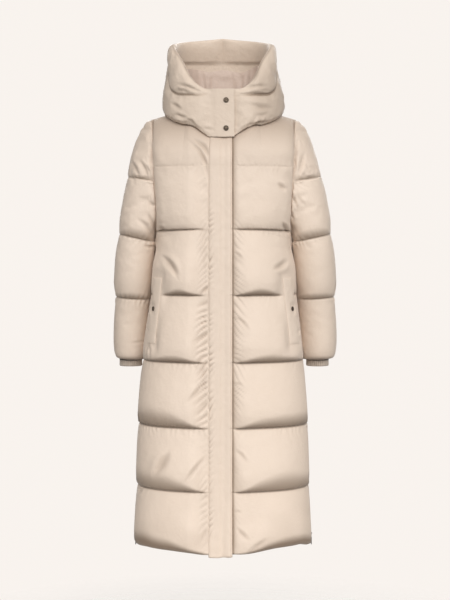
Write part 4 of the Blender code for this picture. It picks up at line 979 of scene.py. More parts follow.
def finer(grid, closed=False):
    """The same grid with a point between each two, on smooth curves through them."""

    def halved(points, wraps):
        n = len(points)
        if wraps:
            before, here, ahead, beyond = (np.roll(points, k, axis=0) for k in (1, 0, -1, -2))
            between = (9 * (here + ahead) - before - beyond) / 16
            made = np.empty((2 * n, *points.shape[1:]))
            made[0::2], made[1::2] = here, between
            return made
        padded = np.concatenate([2 * points[:1] - points[1:2], points, 2 * points[-1:] - points[-2:-1]])
        between = (9 * (padded[1:-2] + padded[2:-1]) - padded[:-3] - padded[3:]) / 16
        made = np.empty((2 * n - 1, *points.shape[1:]))
        made[0::2], made[1::2] = points, between
        return made

    rows = halved(np.asarray(grid, float), False)
    return np.swapaxes(halved(np.swapaxes(rows, 0, 1), closed), 0, 1)


def grid_faces(rows, columns, closed, first, turned):
    """The quads of a grid of vertices that starts at first."""
    i, j = np.meshgrid(np.arange(rows - 1), np.arange(columns if closed else columns - 1), indexing="ij")
    k = (j + 1) % columns
    corners = [i * columns + j, i * columns + k, (i + 1) * columns + k, (i + 1) * columns + j]
    corners = np.stack(corners, axis=-1).reshape(-1, 4) + first
    return corners[:, ::-1] if turned else corners


def edge_loop(rows, columns, closed):
    """The indices round a grid's border, as one or two chains."""
    grid = np.arange(rows * columns).reshape(rows, columns)
    if closed:
        return [np.append(grid[0], grid[0, 0]), np.append(grid[-1], grid[-1, 0])]
    return [np.concatenate([grid[0, :-1], grid[:-1, -1], grid[-1, :0:-1], grid[::-1, 0]])]


def mesh_from(name, points, faces):
    mesh = bpy.data.meshes.new(name)
    mesh.from_pydata([tuple(point) for point in points], [], [tuple(face) for face in faces])
    return mesh


def turn_outwards(mesh, merge=None):
    """Turns a closed mesh's faces outwards, after joining what lies closer than merge."""
    bm = bmesh.new()
    bm.from_mesh(mesh)
    if merge is not None:
        bmesh.ops.remove_doubles(bm, verts=bm.verts, dist=merge)
        bmesh.ops.dissolve_degenerate(bm, edges=bm.edges, dist=merge)
    bmesh.ops.recalc_face_normals(bm, faces=bm.faces)
    bm.to_mesh(mesh)
    bm.free()


def linked(name, mesh, material, sharp=None):
    """A smooth object of a mesh, in the scene. Edges over the angle sharp stay sharp."""
    mesh.materials.append(material)
    mesh.shade_smooth()
    if sharp is not None:
        mesh.set_sharp_from_angle(angle=math.radians(sharp))
    made = bpy.data.objects.new(name, mesh)
    bpy.context.scene.collection.objects.link(made)
    return made


def capped_faces(rings, steps, first=0):
    """The faces of a closed tube of rings, whose vertices begin at first, and of its two ends."""
    last = first + (rings - 1) * steps
    ends = [tuple(range(first, first + steps))[::-1], tuple(range(last, last + steps))]
    return [*grid_faces(rings, steps, True, first, False), *ends]


PIECE_SHARP = 62  # edges that turn by more than this, in degrees, stay sharp


def cloth_coords(grid):
    """Where a grid's points lie in the flat cloth, in metres."""
    along_rows = np.linalg.norm(np.diff(grid, axis=1), axis=2).mean(axis=0)
    down = np.linalg.norm(np.diff(grid, axis=0), axis=2).mean(axis=1)
    u = np.concatenate([[0], np.cumsum(along_rows)])
    v = np.concatenate([[0], np.cumsum(down)])
    return np.stack(np.meshgrid(u, v), axis=-1)


def solid(name, inner, outer, material, closed=False, sharp=PIECE_SHARP, shade=None):
    """A closed piece between a coarse inner grid and an outer one that is as fine or twice as fine.

    shade says how much painted shade and grime each point of the outer grid gets; the seam attribute carries
    it to the materials, which darken the colour by it.
    """
    rows, columns = inner.shape[:2]
    fine_rows, fine_columns = outer.shape[:2]
    points = np.concatenate([inner.reshape(-1, 3), outer.reshape(-1, 3)])
    first = rows * columns
    quads = np.concatenate([
        grid_faces(rows, columns, closed, 0, True),
        grid_faces(fine_rows, fine_columns, closed, first, False),
    ])
    triangles = []
    same = fine_rows == rows
    for low, high in zip(edge_loop(rows, columns, closed), edge_loop(fine_rows, fine_columns, closed)):
        high = high + first
        for k in range(len(low) - 1):
            if same:
                triangles += [(low[k], low[k + 1], high[k + 1]), (low[k], high[k + 1], high[k])]
            else:
                a, b, c = high[2 * k], high[2 * k + 1], high[2 * k + 2]
                triangles += [(low[k], low[k + 1], b), (low[k], b, a), (low[k + 1], c, b)]
    coords = np.concatenate([cloth_coords(inner).reshape(-1, 2), cloth_coords(outer).reshape(-1, 2)])
    dark = np.zeros(len(points))
    if shade is not None:
        dark[first:] = np.clip(shade, 0, 1).reshape(-1)
    mesh = mesh_from(name, points, [*quads, *triangles])
    mesh.validate()
    corners = np.zeros(len(mesh.loops), int)
    mesh.loops.foreach_get("vertex_index", corners)
    mesh.uv_layers.new(name="Cloth").data.foreach_set("uv", coords[corners].astype(np.float32).ravel())
    # the seam attribute holds painted shade and grime, which the materials paint into the colour
    mesh.attributes.new("seam", "FLOAT", "POINT").data.foreach_set("value", dark.astype(np.float32))
    turn_outwards(mesh, merge=1e-6)
    return linked(name, mesh, material, sharp)


# ---------------------------------------------------------------- materials

WAVES_A_UNIT = 3.18  # bands that a wave texture has in a unit at scale 1


class Wiring:
    """The nodes of a material or of the world."""

    def __init__(self, owner):
        owner.use_nodes = True
        self.tree = owner.node_tree

    def add(self, kind, inputs=None, **settings):
        node = self.tree.nodes.new("ShaderNode" + kind)
        for key, value in settings.items():
            setattr(node, key, value)
        for key, value in (inputs or {}).items():
            if isinstance(value, bpy.types.NodeSocket):
                self.tree.links.new(value, node.inputs[key])
            else:
                node.inputs[key].default_value = value
        return node


class Nodes(Wiring):
    """A material with a principled shader."""

    def __init__(self, name, colour, roughness, **sockets):
        self.material = bpy.data.materials.new(name)
        super().__init__(self.material)
        self.shader = self.tree.nodes["Principled BSDF"]
        self.shader.inputs["Base Color"].default_value = (*colour, 1)
        self.shader.inputs["Roughness"].default_value = roughness
        for socket, value in sockets.items():
            self.shader.inputs[socket.replace("_", " ")].default_value = value

    def link(self, output, socket):
        self.tree.links.new(output, self.shader.inputs[socket])

    def noise(self, scale, detail=3.0, roughness=0.5, vector=None):
        inputs = {"Scale": scale, "Detail": detail, "Roughness": roughness}
        inputs["Vector"] = vector or self.place
        return self.add("TexNoise", inputs).outputs["Fac"]

    @property
    def place(self):
        return self.add("TexCoord").outputs["Object"]

    @property
    def flat(self):
        """Where a point lies in the flat cloth, in metres."""
        return self.add("UVMap", uv_map="Cloth").outputs["UV"]

    @property
    def seam(self):
        """How much painted shade and grime a point's colour takes, read from the seam attribute."""
        return self.add("Attribute", attribute_name="seam").outputs["Fac"]

    def bump(self, height, distance, strength=1.0, after=None):
        inputs = {"Height": height, "Distance": distance, "Strength": strength}
        if after:
            inputs["Normal"] = after
        return self.add("Bump", inputs).outputs["Normal"]

    def between(self, factor, low, high, kind="RGBA"):
        made = self.add("Mix", data_type=kind, clamp_factor=True)
        offset = {"RGBA": 6, "FLOAT": 2}[kind]
        self.tree.links.new(factor, made.inputs[0])
        for socket, value in ((made.inputs[offset], low), (made.inputs[offset + 1], high)):
            if isinstance(value, bpy.types.NodeSocket):
                self.tree.links.new(value, socket)
            else:
                socket.default_value = (*value, 1) if isinstance(value, tuple) else value
        return made.outputs[2 if kind == "RGBA" else 0]

    def ramp(self, factor, low, high):
        made = self.add("MapRange", {"Value": factor, "From Min": low, "From Max": high}, clamp=True)
        return made.outputs["Result"]

    def bands(self, inputs, direction):
        return self.add("TexWave", inputs, wave_type="BANDS", bands_direction=direction).outputs["Fac"]

    def weave(self, apart):
        """The height of a plain weave: two sets of threads at right angles, in the flat cloth."""
        inputs = {"Scale": 1 / apart / WAVES_A_UNIT, "Distortion": 0.0}
        warp, weft = (self.bands({"Vector": self.flat, **inputs}, way) for way in ("X", "Y"))
        return self.add("Math", {0: warp, 1: weft}, operation="MULTIPLY").outputs[0]


PAINTED_SHADE_AND_GRIME = (0.36, 0.315, 0.275)  # the darkest the cloth is painted, as shares of its deep colour: painted shade at stitched lines, under the down, in creases and under the hood, and rubbed-in grime
# how dark the knit is painted at most, where shade is painted inside the sleeve's end and between the ribs
KNIT_PAINTED_SHADE = 0.10


def satin(name, pale, deep, roughness, crinkle):
    """Down-proof nylon satin: a close weave, fine crinkles, a soft sheen, slightly uneven dye, and painted
    shade and grime.
    """
    cloth = Nodes(name, pale, roughness, Sheen_Weight=0.22, Sheen_Roughness=0.35, IOR=1.46)
    patches = cloth.ramp(cloth.noise(5.5, 4.0), 0.34, 0.66)
    colour = cloth.between(patches, pale, deep)
    stretched = cloth.add("Mapping", {"Vector": cloth.flat, "Scale": (60, 900, 1)}).outputs[0]
    slubs = cloth.ramp(cloth.noise(1.0, 2.0, vector=stretched), 0.35, 0.75)
    colour = cloth.between(slubs, colour, cloth.between(patches, deep, pale))
    # the seam attribute paints shade and grime into the colour, and makes the cloth rougher there
    shade = cloth.ramp(cloth.seam, 0.0, 1.0)
    tint = tuple(share * c for share, c in zip(PAINTED_SHADE_AND_GRIME, deep))
    cloth.link(cloth.between(shade, colour, tint), "Base Color")
    uneven = cloth.ramp(cloth.noise(30.0, 4.0), 0.3, 0.7)
    gloss = cloth.between(uneven, roughness - 0.05, roughness + 0.06, "FLOAT")
    cloth.link(cloth.between(shade, gloss, roughness + 0.15, "FLOAT"), "Roughness")
    height = cloth.bump(cloth.weave(0.00045), 0.00006, 0.7)
    height = cloth.bump(cloth.noise(240.0, 3.0, 0.6), 0.0004 * crinkle, 0.8, height)
    height = cloth.bump(cloth.noise(62.0, 4.0, 0.55), 0.0022 * crinkle, 0.8, height)
    cloth.link(height, "Normal")
    return cloth.material


def knit(name, pale, deep):
    """Rib knit: fine loops along each rib, matt, with a little fuzz, and shade painted from the seam
    attribute.
    """
    cloth = Nodes(name, pale, 0.86, Sheen_Weight=0.35, Sheen_Roughness=0.5)
    patches = cloth.ramp(cloth.noise(90.0, 4.0), 0.35, 0.65)
    colour = cloth.between(patches, pale, deep)
    # painted shade: the seam attribute darkens the knit towards this colour
    inside = tuple(KNIT_PAINTED_SHADE * c for c in deep)
    cloth.link(cloth.between(cloth.ramp(cloth.seam, 0.0, 1.0), colour, inside), "Base Color")
    loops = cloth.bump(cloth.weave(0.0011), 0.00035, 0.9)
    cloth.link(cloth.bump(cloth.noise(900.0, 2.0, 0.7), 0.0002, 0.6, loops), "Normal")
    return cloth.material


def tape(name, pale, deep):
    """Woven zip tape with a close twill."""
    cloth = Nodes(name, pale, 0.72, Sheen_Weight=0.15)
    twill = cloth.bands({"Vector": cloth.place, "Scale": 420.0, "Distortion": 0.6, "Detail": 1.0}, "DIAGONAL")
    cloth.link(cloth.between(cloth.ramp(twill, 0.2, 0.8), deep, pale), "Base Color")
    cloth.link(cloth.bump(twill, 0.00012, 0.8), "Normal")
    return cloth.material


def old_metal(name, dark, worn, roughness):
    """Plated metal with a dark finish that is rubbed through in places."""
    metal = Nodes(name, dark, roughness, Metallic=0.9)
    rubbed = metal.ramp(metal.noise(420.0, 5.0, 0.65), 0.52, 0.72)
    metal.link(metal.between(rubbed, dark, worn), "Base Color")
    cloudy = metal.ramp(metal.noise(150.0, 4.0), 0.3, 0.7)
    metal.link(metal.between(cloudy, roughness - 0.08, roughness + 0.12, "FLOAT"), "Roughness")
    metal.link(metal.bump(metal.noise(1600.0, 3.0, 0.6), 0.00005, 0.5), "Normal")
    return metal.material


def thread(name, pale, deep):
    """Sewing thread with a slight twist."""
    cloth = Nodes(name, pale, 0.62, Sheen_Weight=0.25)
    twist = cloth.bands({"Vector": cloth.place, "Scale": 900.0}, "DIAGONAL")
    cloth.link(cloth.between(twist, deep, pale), "Base Color")
    cloth.link(cloth.bump(twist, 0.00008, 0.8), "Normal")
    return cloth.material


SHELL = satin("shell_satin", (0.745, 0.62, 0.515), (0.705, 0.58, 0.472), 0.56, 0.7)
# the collar's lining: a pinker satin than the shell's, and painted darker as shade for its place inside the
# hood
LINING_SATIN_PAINTED_DARKER = satin("lining_satin_painted_darker", (0.57, 0.45, 0.375), (0.52, 0.40, 0.33), 0.52, 1.3)
# painted shade: the hood's satin is the shell's, painted darker overall
HOOD_SATIN_PAINTED_DARKER = satin("hood_satin_painted_darker", (0.66, 0.545, 0.445), (0.61, 0.495, 0.395), 0.55, 1.1)
KNIT = knit("rib_knit", (0.57, 0.47, 0.385), (0.48, 0.39, 0.315))
TAPE = tape("zip_tape", (0.56, 0.46, 0.37), (0.44, 0.36, 0.28))
TEETH = old_metal("zip_teeth", (0.16, 0.125, 0.095), (0.42, 0.34, 0.25), 0.42)
STUD = old_metal("stud_metal", (0.085, 0.065, 0.05), (0.36, 0.28, 0.20), 0.38)
TAB = old_metal("tab_metal", (0.10, 0.085, 0.075), (0.34, 0.29, 0.24), 0.40)
THREAD = thread("thread", (0.66, 0.55, 0.45), (0.54, 0.44, 0.35))


def fading_floor(name, colour, opaque, gone):
    """Matt paper that runs out into the backdrop with its distance from the middle, in metres."""
    paper = Nodes(name, colour, 0.85)
    distance = paper.add("VectorMath", {0: paper.place}, operation="LENGTH").outputs["Value"]
    faint = paper.add("MapRange", {"Value": distance, "From Min": opaque, "From Max": gone}, clamp=True)
    paper.link(paper.between(faint.outputs["Result"], 1.0, 0.0, "FLOAT"), "Alpha")
    cloudy = paper.ramp(paper.noise(9.0), 0.3, 0.7)
    paper.link(paper.between(cloudy, colour, (0.80, 0.79, 0.77)), "Base Color")
    return paper.material


FLOOR = fading_floor("floor_paper", (0.83, 0.82, 0.80), 0.35, 1.25)


# ---------------------------------------------------------------- the down swells and the shell wrinkles

START_NOISE = 0.0016  # how uneven the shell is before the simulation, so that it wrinkles unevenly too
START_NOISE_SCALE = 38
CLOTH_FRAMES = 20
CLOTH = dict(
    quality=4,
    mass=0.15,
    tension_stiffness=12,
    compression_stiffness=12,
    shear_stiffness=4,
    bending_stiffness=0.04,
    air_damping=3,
    vertex_group_mass="sewn",
    shrink_min=-0.05,  # the shell is cut this much larger than its place
    use_pressure=True,
    uniform_pressure_force=4.0,
)
SWELL_REACH = 5  # a move that is even over this many points is swelling, and the rest is wrinkles
WRINKLE_CAP = 0.006
WRINKLES_KEPT = 1.2
SWELL_CAP = 0.003


def blurred(grid, reach, closed):
    """The grid's values smoothed over reach points each way."""
    weights = np.exp(-(np.arange(-2 * reach, 2 * reach + 1) / reach) ** 2)
    weights /= weights.sum()
    for axis in (0, 1):
        mode = "wrap" if closed and axis == 1 else "edge"
        pad = [(0, 0)] * grid.ndim
        pad[axis] = (2 * reach, 2 * reach)
        wide = np.pad(grid, pad, mode=mode)
        length = grid.shape[axis]
        grid = sum(w * np.take(wide, range(k, k + length), axis=axis) for k, w in enumerate(weights))
    return grid


def capped(moves, cap):
    """The moves of a grid's points, none longer than cap."""
    size = np.linalg.norm(moves, axis=2, keepdims=True) / cap
    return moves * np.tanh(size) / np.maximum(size, 1e-9)


def cloth_of(piece, seed):
    """A Cloth object on a piece's shell, held where it is stitched."""
    rows, columns = piece.shell.shape[:2]
    points = piece.shell.reshape(-1, 3).copy()
    ways = piece.ways.reshape(-1, 3)
    free = ~piece.sewn.reshape(-1)
    for k in np.flatnonzero(free):
        spot = Vector(points[k] * START_NOISE_SCALE) + Vector((seed * 7.3, 0, 0))
        points[k] += ways[k] * START_NOISE * noise.noise(spot)
    quads = grid_faces(rows, columns, piece.closed, 0, False)
    a, b, c = points[quads[:, 0]], points[quads[:, 1]], points[quads[:, 2]]
    if np.sum(np.cross(b - a, c - b) * ways[quads[:, 0]]) < 0:
        quads = quads[:, ::-1]
    made = bpy.data.objects.new("cloth", mesh_from("cloth", points, quads))
    bpy.context.scene.collection.objects.link(made)
    pins = made.vertex_groups.new(name="sewn")
    pins.add([int(k) for k in np.flatnonzero(~free)], 1.0, "REPLACE")
    cloth = made.modifiers.new("cloth", "CLOTH")
    settings = cloth.settings
    for key, value in CLOTH.items():
        setattr(settings, key, value)
    settings.effector_weights.gravity = 0
    cloth.collision_settings.use_collision = False
    return made


def simulate(pieces):
    """Runs Cloth on all the shells at once. The pieces keep its wrinkles and a little of its swelling."""
    cloths = [cloth_of(piece, seed) for seed, piece in enumerate(pieces, 1)]
    scene = bpy.context.scene
    for number in range(1, CLOTH_FRAMES + 1):
        scene.frame_set(number)
    graph = bpy.context.evaluated_depsgraph_get()
    for piece, cloth in zip(pieces, cloths):
        mesh = cloth.evaluated_get(graph).to_mesh()
        points = np.zeros(3 * len(mesh.vertices), np.float32)
        mesh.vertices.foreach_get("co", points)
        moved = points.reshape(piece.shell.shape).astype(float) - piece.shell
        moved[piece.sewn] = 0
        swell = blurred(moved, SWELL_REACH, piece.closed)
        wrinkles = capped(moved - swell, WRINKLE_CAP) * WRINKLES_KEPT * piece.crisp[:, :, None]
        swell = capped(swell, SWELL_CAP) * piece.swells[:, :, None]
        piece.shell += (wrinkles + swell) * piece.loose[:, :, None]
    scene.frame_set(1)
    for cloth in cloths:
        bpy.data.objects.remove(cloth)


# ---------------------------------------------------------------- creases pressed in

CREASE_RIDGE = 0.5
CREASE_LOBE = 1.5  # how far its ridges are from the trough, in widths
CREASE_DARK = 0.006  # the depth at which the shade painted in a crease is as dark as it gets
# how much shade is painted in a crease's trough
CREASE_PAINTED_SHADE = 0.34
FRONT = (0, -1, 0)
BEHIND = (0, 1, 0)
PUCKER_APART = 0.019
PUCKER_SLANT = 0.95  # how far a pucker climbs for each metre across
PUCKER_LEVEL = 0.7  # the part of a pucker's wave that stays at the cloth's own level
# how much shade is painted in the puckers' troughs
PUCKER_PAINTED_SHADE = 0.8


def crease(points, line, depth, width):
    """How far a crease moves each point along its way: a sharp trough with a soft ridge, higher on one side.

    points and line are in the plane that the crease is drawn in. It is narrow and shallow at both ends. It
    also says how much shade to paint in its trough.
    """
    line = np.asarray(line, float)
    lengths = lengths_along(line)
    nearest = np.full(points.shape[:-1], 9.0)
    share = np.zeros(points.shape[:-1])
    across = np.zeros(points.shape[:-1])
    for k in range(len(line) - 1):
        step = line[k + 1] - line[k]
        apart = points - line[k]
        t = np.clip((apart @ step) / (step @ step), 0, 1)
        away = np.linalg.norm(apart - t[..., None] * step, axis=-1)
        closer = away < nearest
        nearest = np.where(closer, away, nearest)
        share = np.where(closer, (lengths[k] + t * (lengths[k + 1] - lengths[k])) / lengths[-1], share)
        side = np.sign(step[0] * apart[..., 1] - step[1] * apart[..., 0])
        across = np.where(closer, side, across)
    taper = np.sin(np.pi * np.clip(0.04 + 0.92 * share, 0, 1))
    broad = width * (0.30 + 0.70 * taper**0.7)
    signed = nearest * across / broad
    trough = np.exp(-(np.abs(signed) ** 1.5)) * taper**1.3
    ridges = np.exp(-((signed - CREASE_LOBE) ** 2)) + 0.35 * np.exp(-((signed + CREASE_LOBE) ** 2))
    height = CREASE_RIDGE * ridges * taper**1.3 - trough
    return height * depth, trough * min(depth / CREASE_DARK, 1.0)


def darkened(piece, dark):
    """Adds to the painted shade and grime on a piece's colour."""
    piece.fine_shade = np.clip(piece.fine_shade + dark, 0, 1)


def pressed(piece, rows, axes=(0, 2), facing=None):
    """Presses creases into a piece's fine shell, and paints shade in their troughs. facing is the way that
    the points must look.
    """
    plane = piece.fine[:, :, axes]
    total, dark = np.zeros(plane.shape[:2]), np.zeros(plane.shape[:2])
    for line, depth, width in rows:
        height, trough = crease(plane, line, depth, width)
        total += height
        dark = np.maximum(dark, trough)
    seen = 1.0 if facing is None else smooth(piece.fine_ways @ np.array(facing, float), 0.1, 0.5)
    piece.fine += piece.fine_ways * (total * piece.fine_loose * seen)[:, :, None]
    darkened(piece, CREASE_PAINTED_SHADE * dark * seen)


def noise_at(points, scale, seed):
    """Perlin noise at each point of a grid."""
    flat = points.reshape(-1, 3) * scale + seed * 11.7
    return np.array([noise.noise(p) for p in flat]).reshape(points.shape[:-1])


def creases(*rows):
    """Creases from rows in millimetres: the points of its line, each across and up, then depth and width."""
    made = []
    for row in rows:
        *line, depth, width = np.array(row) / 1000
        made.append((np.reshape(line, (-1, 2)), depth, width))
    return made


CREASES = {
    "front_right": creases(
        (-168, -400, -143.4, -426.2, -121.9, -455.6, 7.5, 9),
        (-160, -412, -138, -440, -118, -470, 2, 4),
        (-213.1, -600.5, -194.3, -611.3, -178.2, -627.4, 5, 6),
        (-81.7, -84.5, -52.3, -108.3, -33.5, -138.2, 4.5, 6),
        (-100.5, -84.5, -65.7, -116.9, -46.9, -154.1, -44.2, -194, 4, 5),
        (-87.1, -635.4, -60.3, -619.3, -38.9, -597.8, 3.5, 5),
        (-103.2, -799.8, -73.7, -770.1, -41.5, -732.4, 4.5, 6),
        (-73.7, -816, -52.3, -797.1, -33.5, -772.8, 3, 4),
        (-111.2, -1016.4, -84.4, -983.8, -46.9, -940.5, 5, 6),
        (-191.6, -999.2, -170.2, -967.5, -146.1, -930, 8, 11),
        (-60.3, -501.2, -46.9, -490.5, -33.5, -477.1, 3.5, 5),
        (-178.2, -322, -167.5, -330, -154.1, -335.3, 5, 6),
    ),
    "front_left": creases(
        (25.5, -388.8, 38.9, -399.4, 52.3, -412.8, 3.5, 5),
        (28.1, -562.9, 49.6, -579, 71, -603.2, 3.5, 5),
        (25.5, -743.2, 38.9, -745.9, 52.3, -751.3, 3, 4),
        (30.8, -921.5, 46.9, -935, 65.7, -956.7, 3.5, 5),
        (25.5, -1089.7, 38.9, -1089.7, 49.6, -1089.7, 2.5, 4),
        (33.5, -1131.4, 49.6, -1148.3, 68.3, -1165.2, 4.5, 6),
        (60.3, -1204, 87.1, -1185, 119.3, -1160.4, 4, 8),
        (178.2, -412.8, 156.8, -428.9, 132.7, -439.6, 6, 8),
        (213.1, -600.5, 194.3, -619.3, 180.9, -638.1, 4.5, 6),
        (146.1, -204.7, 156.8, -215.3, 170.2, -226, 5, 6),
        (159.5, -311.3, 167.5, -324.6, 175.5, -340.7, 6, 6),
    ),
    "sleeve_right": creases(
        (-255.3, -139, -241.5, -163.6, -230.5, -188.3, 4.5, 6),
        (-230.5, -139, -213.9, -166.4, -202.9, -199.3, 4.5, 6),
        (-211.1, -152.7, -194.6, -188.3, -183.5, -226.7, 4.5, 5),
        (-200.1, -84.3, -194.6, -133.5, -197.3, -171.9, 3.5, 5),
        (-205.6, -256.9, -194.6, -262.4, -180.8, -265.1, 4.5, 5),
        (-238.7, -298.1, -211.1, -320.1, -191.8, -353.1, 4, 7),
        (-208.4, -287.1, -191.8, -314.6, -183.5, -342.1, 4, 6),
        (-219.4, -375.1, -202.9, -377.8, -183.5, -375.1, 3.5, 4),
        (-260.8, -645.7, -241.5, -645.7, -222.2, -642.9, 2.5, 4),
    ),
    "sleeve_left": creases(
        (180.8, -78.8, 183.5, -133.5, 186.3, -188.3, 4, 4),
        (202.9, -84.3, 194.6, -139, 186.3, -188.3, 4, 5),
        (222.2, -117.1, 211.1, -160.9, 200.1, -193.8, 4, 6),
        (172.5, -210.2, 194.6, -202, 213.9, -193.8, 4, 5),
        (180.8, -226.7, 191.8, -248.6, 202.9, -276.1, 3.5, 5),
        (200.1, -237.7, 211.1, -254.1, 224.9, -265.1, 3, 5),
        (167, -270.6, 183.5, -287.1, 194.6, -309.1, 3.5, 5),
    ),
    "hood_right": creases(
        (-127.3, 63.3, -89.8, 50.1, -54.9, 36.8, 4, 6),
        (-134, 48, -110, 44, -88, 38, 2.5, 5),
        (-143, 13, -130, 4, -114, -8, 4, 6),
        (-54.9, 7.7, -41, 6, -28.1, 5, 2, 4),
        (-54.9, -60, -38, -62, -20, -60, 3, 4),
        (-100, -35, -87, -40, -74, -52, 4.5, 5),
        (-133, -18, -115, -26, -97, -30, 4, 5),
    ),
    "hood_left": creases(
        (54.9, 50, 92.5, 55, 130, 56.7, 3, 5),
        (33.5, 26.2, 76.4, 34, 140.7, 36.8, 3, 5),
        (90, 44, 115, 45, 139, 44, 2.2, 4),
        (71, 5, 103.2, -3, 135.3, -3, 4, 9),
        (76.4, -53, 95, -45, 118, -38, 5, 5),
        (44.2, -69, 64, -67, 87.1, -60, 3.5, 4),
        (87, -24, 105, -23, 126, -13, 2.5, 6),
    ),
}


def slanting_waves(points, edge):
    """Waves from 0 to 1 that slant away from the placket's edge and bend a little."""
    bent = noise_at(points, 15.0, 5.0 + edge)
    phase = (points[:, :, 2] + PUCKER_SLANT * np.abs(points[:, :, 0])) / PUCKER_APART + 1.5 * bent
    return (0.5 - 0.5 * np.cos(2 * math.pi * phase)) ** 0.6


def placket_puckers(piece, edge, strength):
    """Small slanting puckers beside the placket's seam, uneven along it, with shade painted in their troughs.
    """
    x, z = np.abs(piece.fine[:, :, 0]), piece.fine[:, :, 2]
    uneven = noise_at(piece.fine * [0.2, 0.2, 1], 9.0, 3.0 + edge)
    wave = slanting_waves(piece.fine, edge)
    away = x - edge
    near = smooth(away, 0.0, 0.008) * (1 - smooth(away, 0.012, 0.030 + 0.03 * np.clip(uneven + 0.3, 0, 1)))
    strong = np.clip(0.75 + 1.4 * uneven, 0.15, 1.3) * smooth(-z, 0.16, 0.30)
    front = smooth(-piece.fine_ways[:, :, 1], 0.3, 0.7)
    amount = near * strong * front
    piece.fine += piece.fine_ways * ((wave - PUCKER_LEVEL) * amount * strength)[:, :, None]
    darkened(piece, PUCKER_PAINTED_SHADE * np.clip(0.55 - wave, 0, 1) * amount)


def scattered(seed, count, across, lines, longest):
    """Seeded creases that fan out from stitched lines, at heights given in lines and places across."""
    draw = np.random.default_rng(seed)
    made = []
    for _ in range(count):
        upwards = draw.choice([-1, 1], p=[0.35, 0.65])
        start = np.array([draw.uniform(*across), draw.choice(lines) + 0.004 * upwards])
        turn = upwards * math.radians(draw.uniform(35, 145))
        length = longest * draw.uniform(0.4, 1.0) * (1.0 if upwards > 0 else 0.5)
        bend = draw.uniform(-0.6, 0.6)
        middle = start + 0.5 * length * np.array([math.cos(turn), math.sin(turn)])
        end = middle + 0.5 * length * np.array([math.cos(turn + bend), math.sin(turn + bend)])
        made.append(((start, middle, end), draw.uniform(0.0025, 0.0055), draw.uniform(0.004, 0.0085)))
    return made


def seated(piece, node, below, near=0.009, far=0.024):
    """Draws a piece's cloth in under a press stud, to a depth below the stud's foot."""
    middle, way, foot = stud_place(node)
    apart = piece.fine - middle
    height = apart @ way
    away = np.linalg.norm(apart - height[:, :, None] * way, axis=2)
    over = np.maximum(height - (foot - below), 0) * (np.abs(height) < 0.04)
    piece.fine -= (over * (1 - smooth(away, near, far)))[:, :, None] * way


def stud_place(node):
    """The middle of a press stud's solid, the way it faces, and how far its foot is along that way."""
    points = np.array([vertex.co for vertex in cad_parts[node].data.vertices])
    middle = (points.min(axis=0) + points.max(axis=0)) / 2
    way = np.linalg.svd(points - points.mean(axis=0))[2][2]
    way *= -np.sign(way[1])
    return middle, way, ((points - middle) @ way).min()


def dusty(piece, low, high, strength):
    """Rubs a little grime into a piece, more and more from one height down to another."""
    patches = np.clip(0.3 + 1.5 * noise_at(piece.fine, 15.0, 41.0), 0, 1)
    worn = patches * smooth(-piece.fine[:, :, 2], -high, -low)
    darkened(piece, strength * worn)


def seam_puckers(piece, rows, strength, apart, reach, seed):
    """Short puckers that rise from the stitched rows, uneven along them."""
    seed *= 1.9
    around = np.zeros(piece.fine.shape[:2])
    step = np.linalg.norm(np.diff(piece.fine, axis=1), axis=2)
    around[:, 1:] = np.cumsum(step, axis=1)
    height = np.zeros(piece.fine.shape[:2])
    height[1:] = np.cumsum(np.linalg.norm(np.diff(piece.fine, axis=0), axis=2), axis=0)
    bent = noise_at(piece.fine, 30.0, seed)
    uneven = np.clip(0.5 + 1.6 * noise_at(piece.fine, 7.0, seed + 1), 0, 1.2)
    wave = np.sin(2 * math.pi * (around / apart + 0.9 * bent))
    total = np.zeros(around.shape)
    for row in rows:
        up = height - height[row]
        total += np.exp(-((np.abs(up) / reach) ** 1.5)) * smooth(np.abs(up), 0.0, 0.006)
    piece.fine += piece.fine_ways * (wave * total * uneven * strength * piece.fine_loose)[:, :, None]


# ---------------------------------------------------------------- the pieces

NEAR_SEAM_LOOSE = 1.6  # how soon beside a line the cloth may move, in the simulation and for the creases
NEAR_SEAM_PRESSED = 1.7
SLEEVE_CRISP = (0.12, 0.42)  # how much of the cloth's wrinkles stays, below the elbow and at the shoulder
SLEEVE_SWELLS = 0.25
HOOD_CRISP = 0.28
BODY_CRISP = 0.25  # and all of them stay beside the upper sleeves
PLACKET_CRISP = 0.7


def turned(piece, side):
    """A piece that was made at +X, at its own side."""
    result = SimpleNamespace(**vars(piece))
    for name in ("lining", "shell", "ways"):
        setattr(result, name, flipped(getattr(piece, name), side))
    return result


def doubled(half):
    """The whole back, from its half."""
    result = SimpleNamespace(**vars(half))
    for name in ("lining", "shell", "ways"):
        grid = getattr(half, name)
        setattr(result, name, np.concatenate([flipped(grid[:, :0:-1], -1), grid], axis=1))
    for name in ("sewn", "shade"):
        grid = getattr(half, name)
        setattr(result, name, np.concatenate([grid[:, :0:-1], grid], axis=1))
    return result


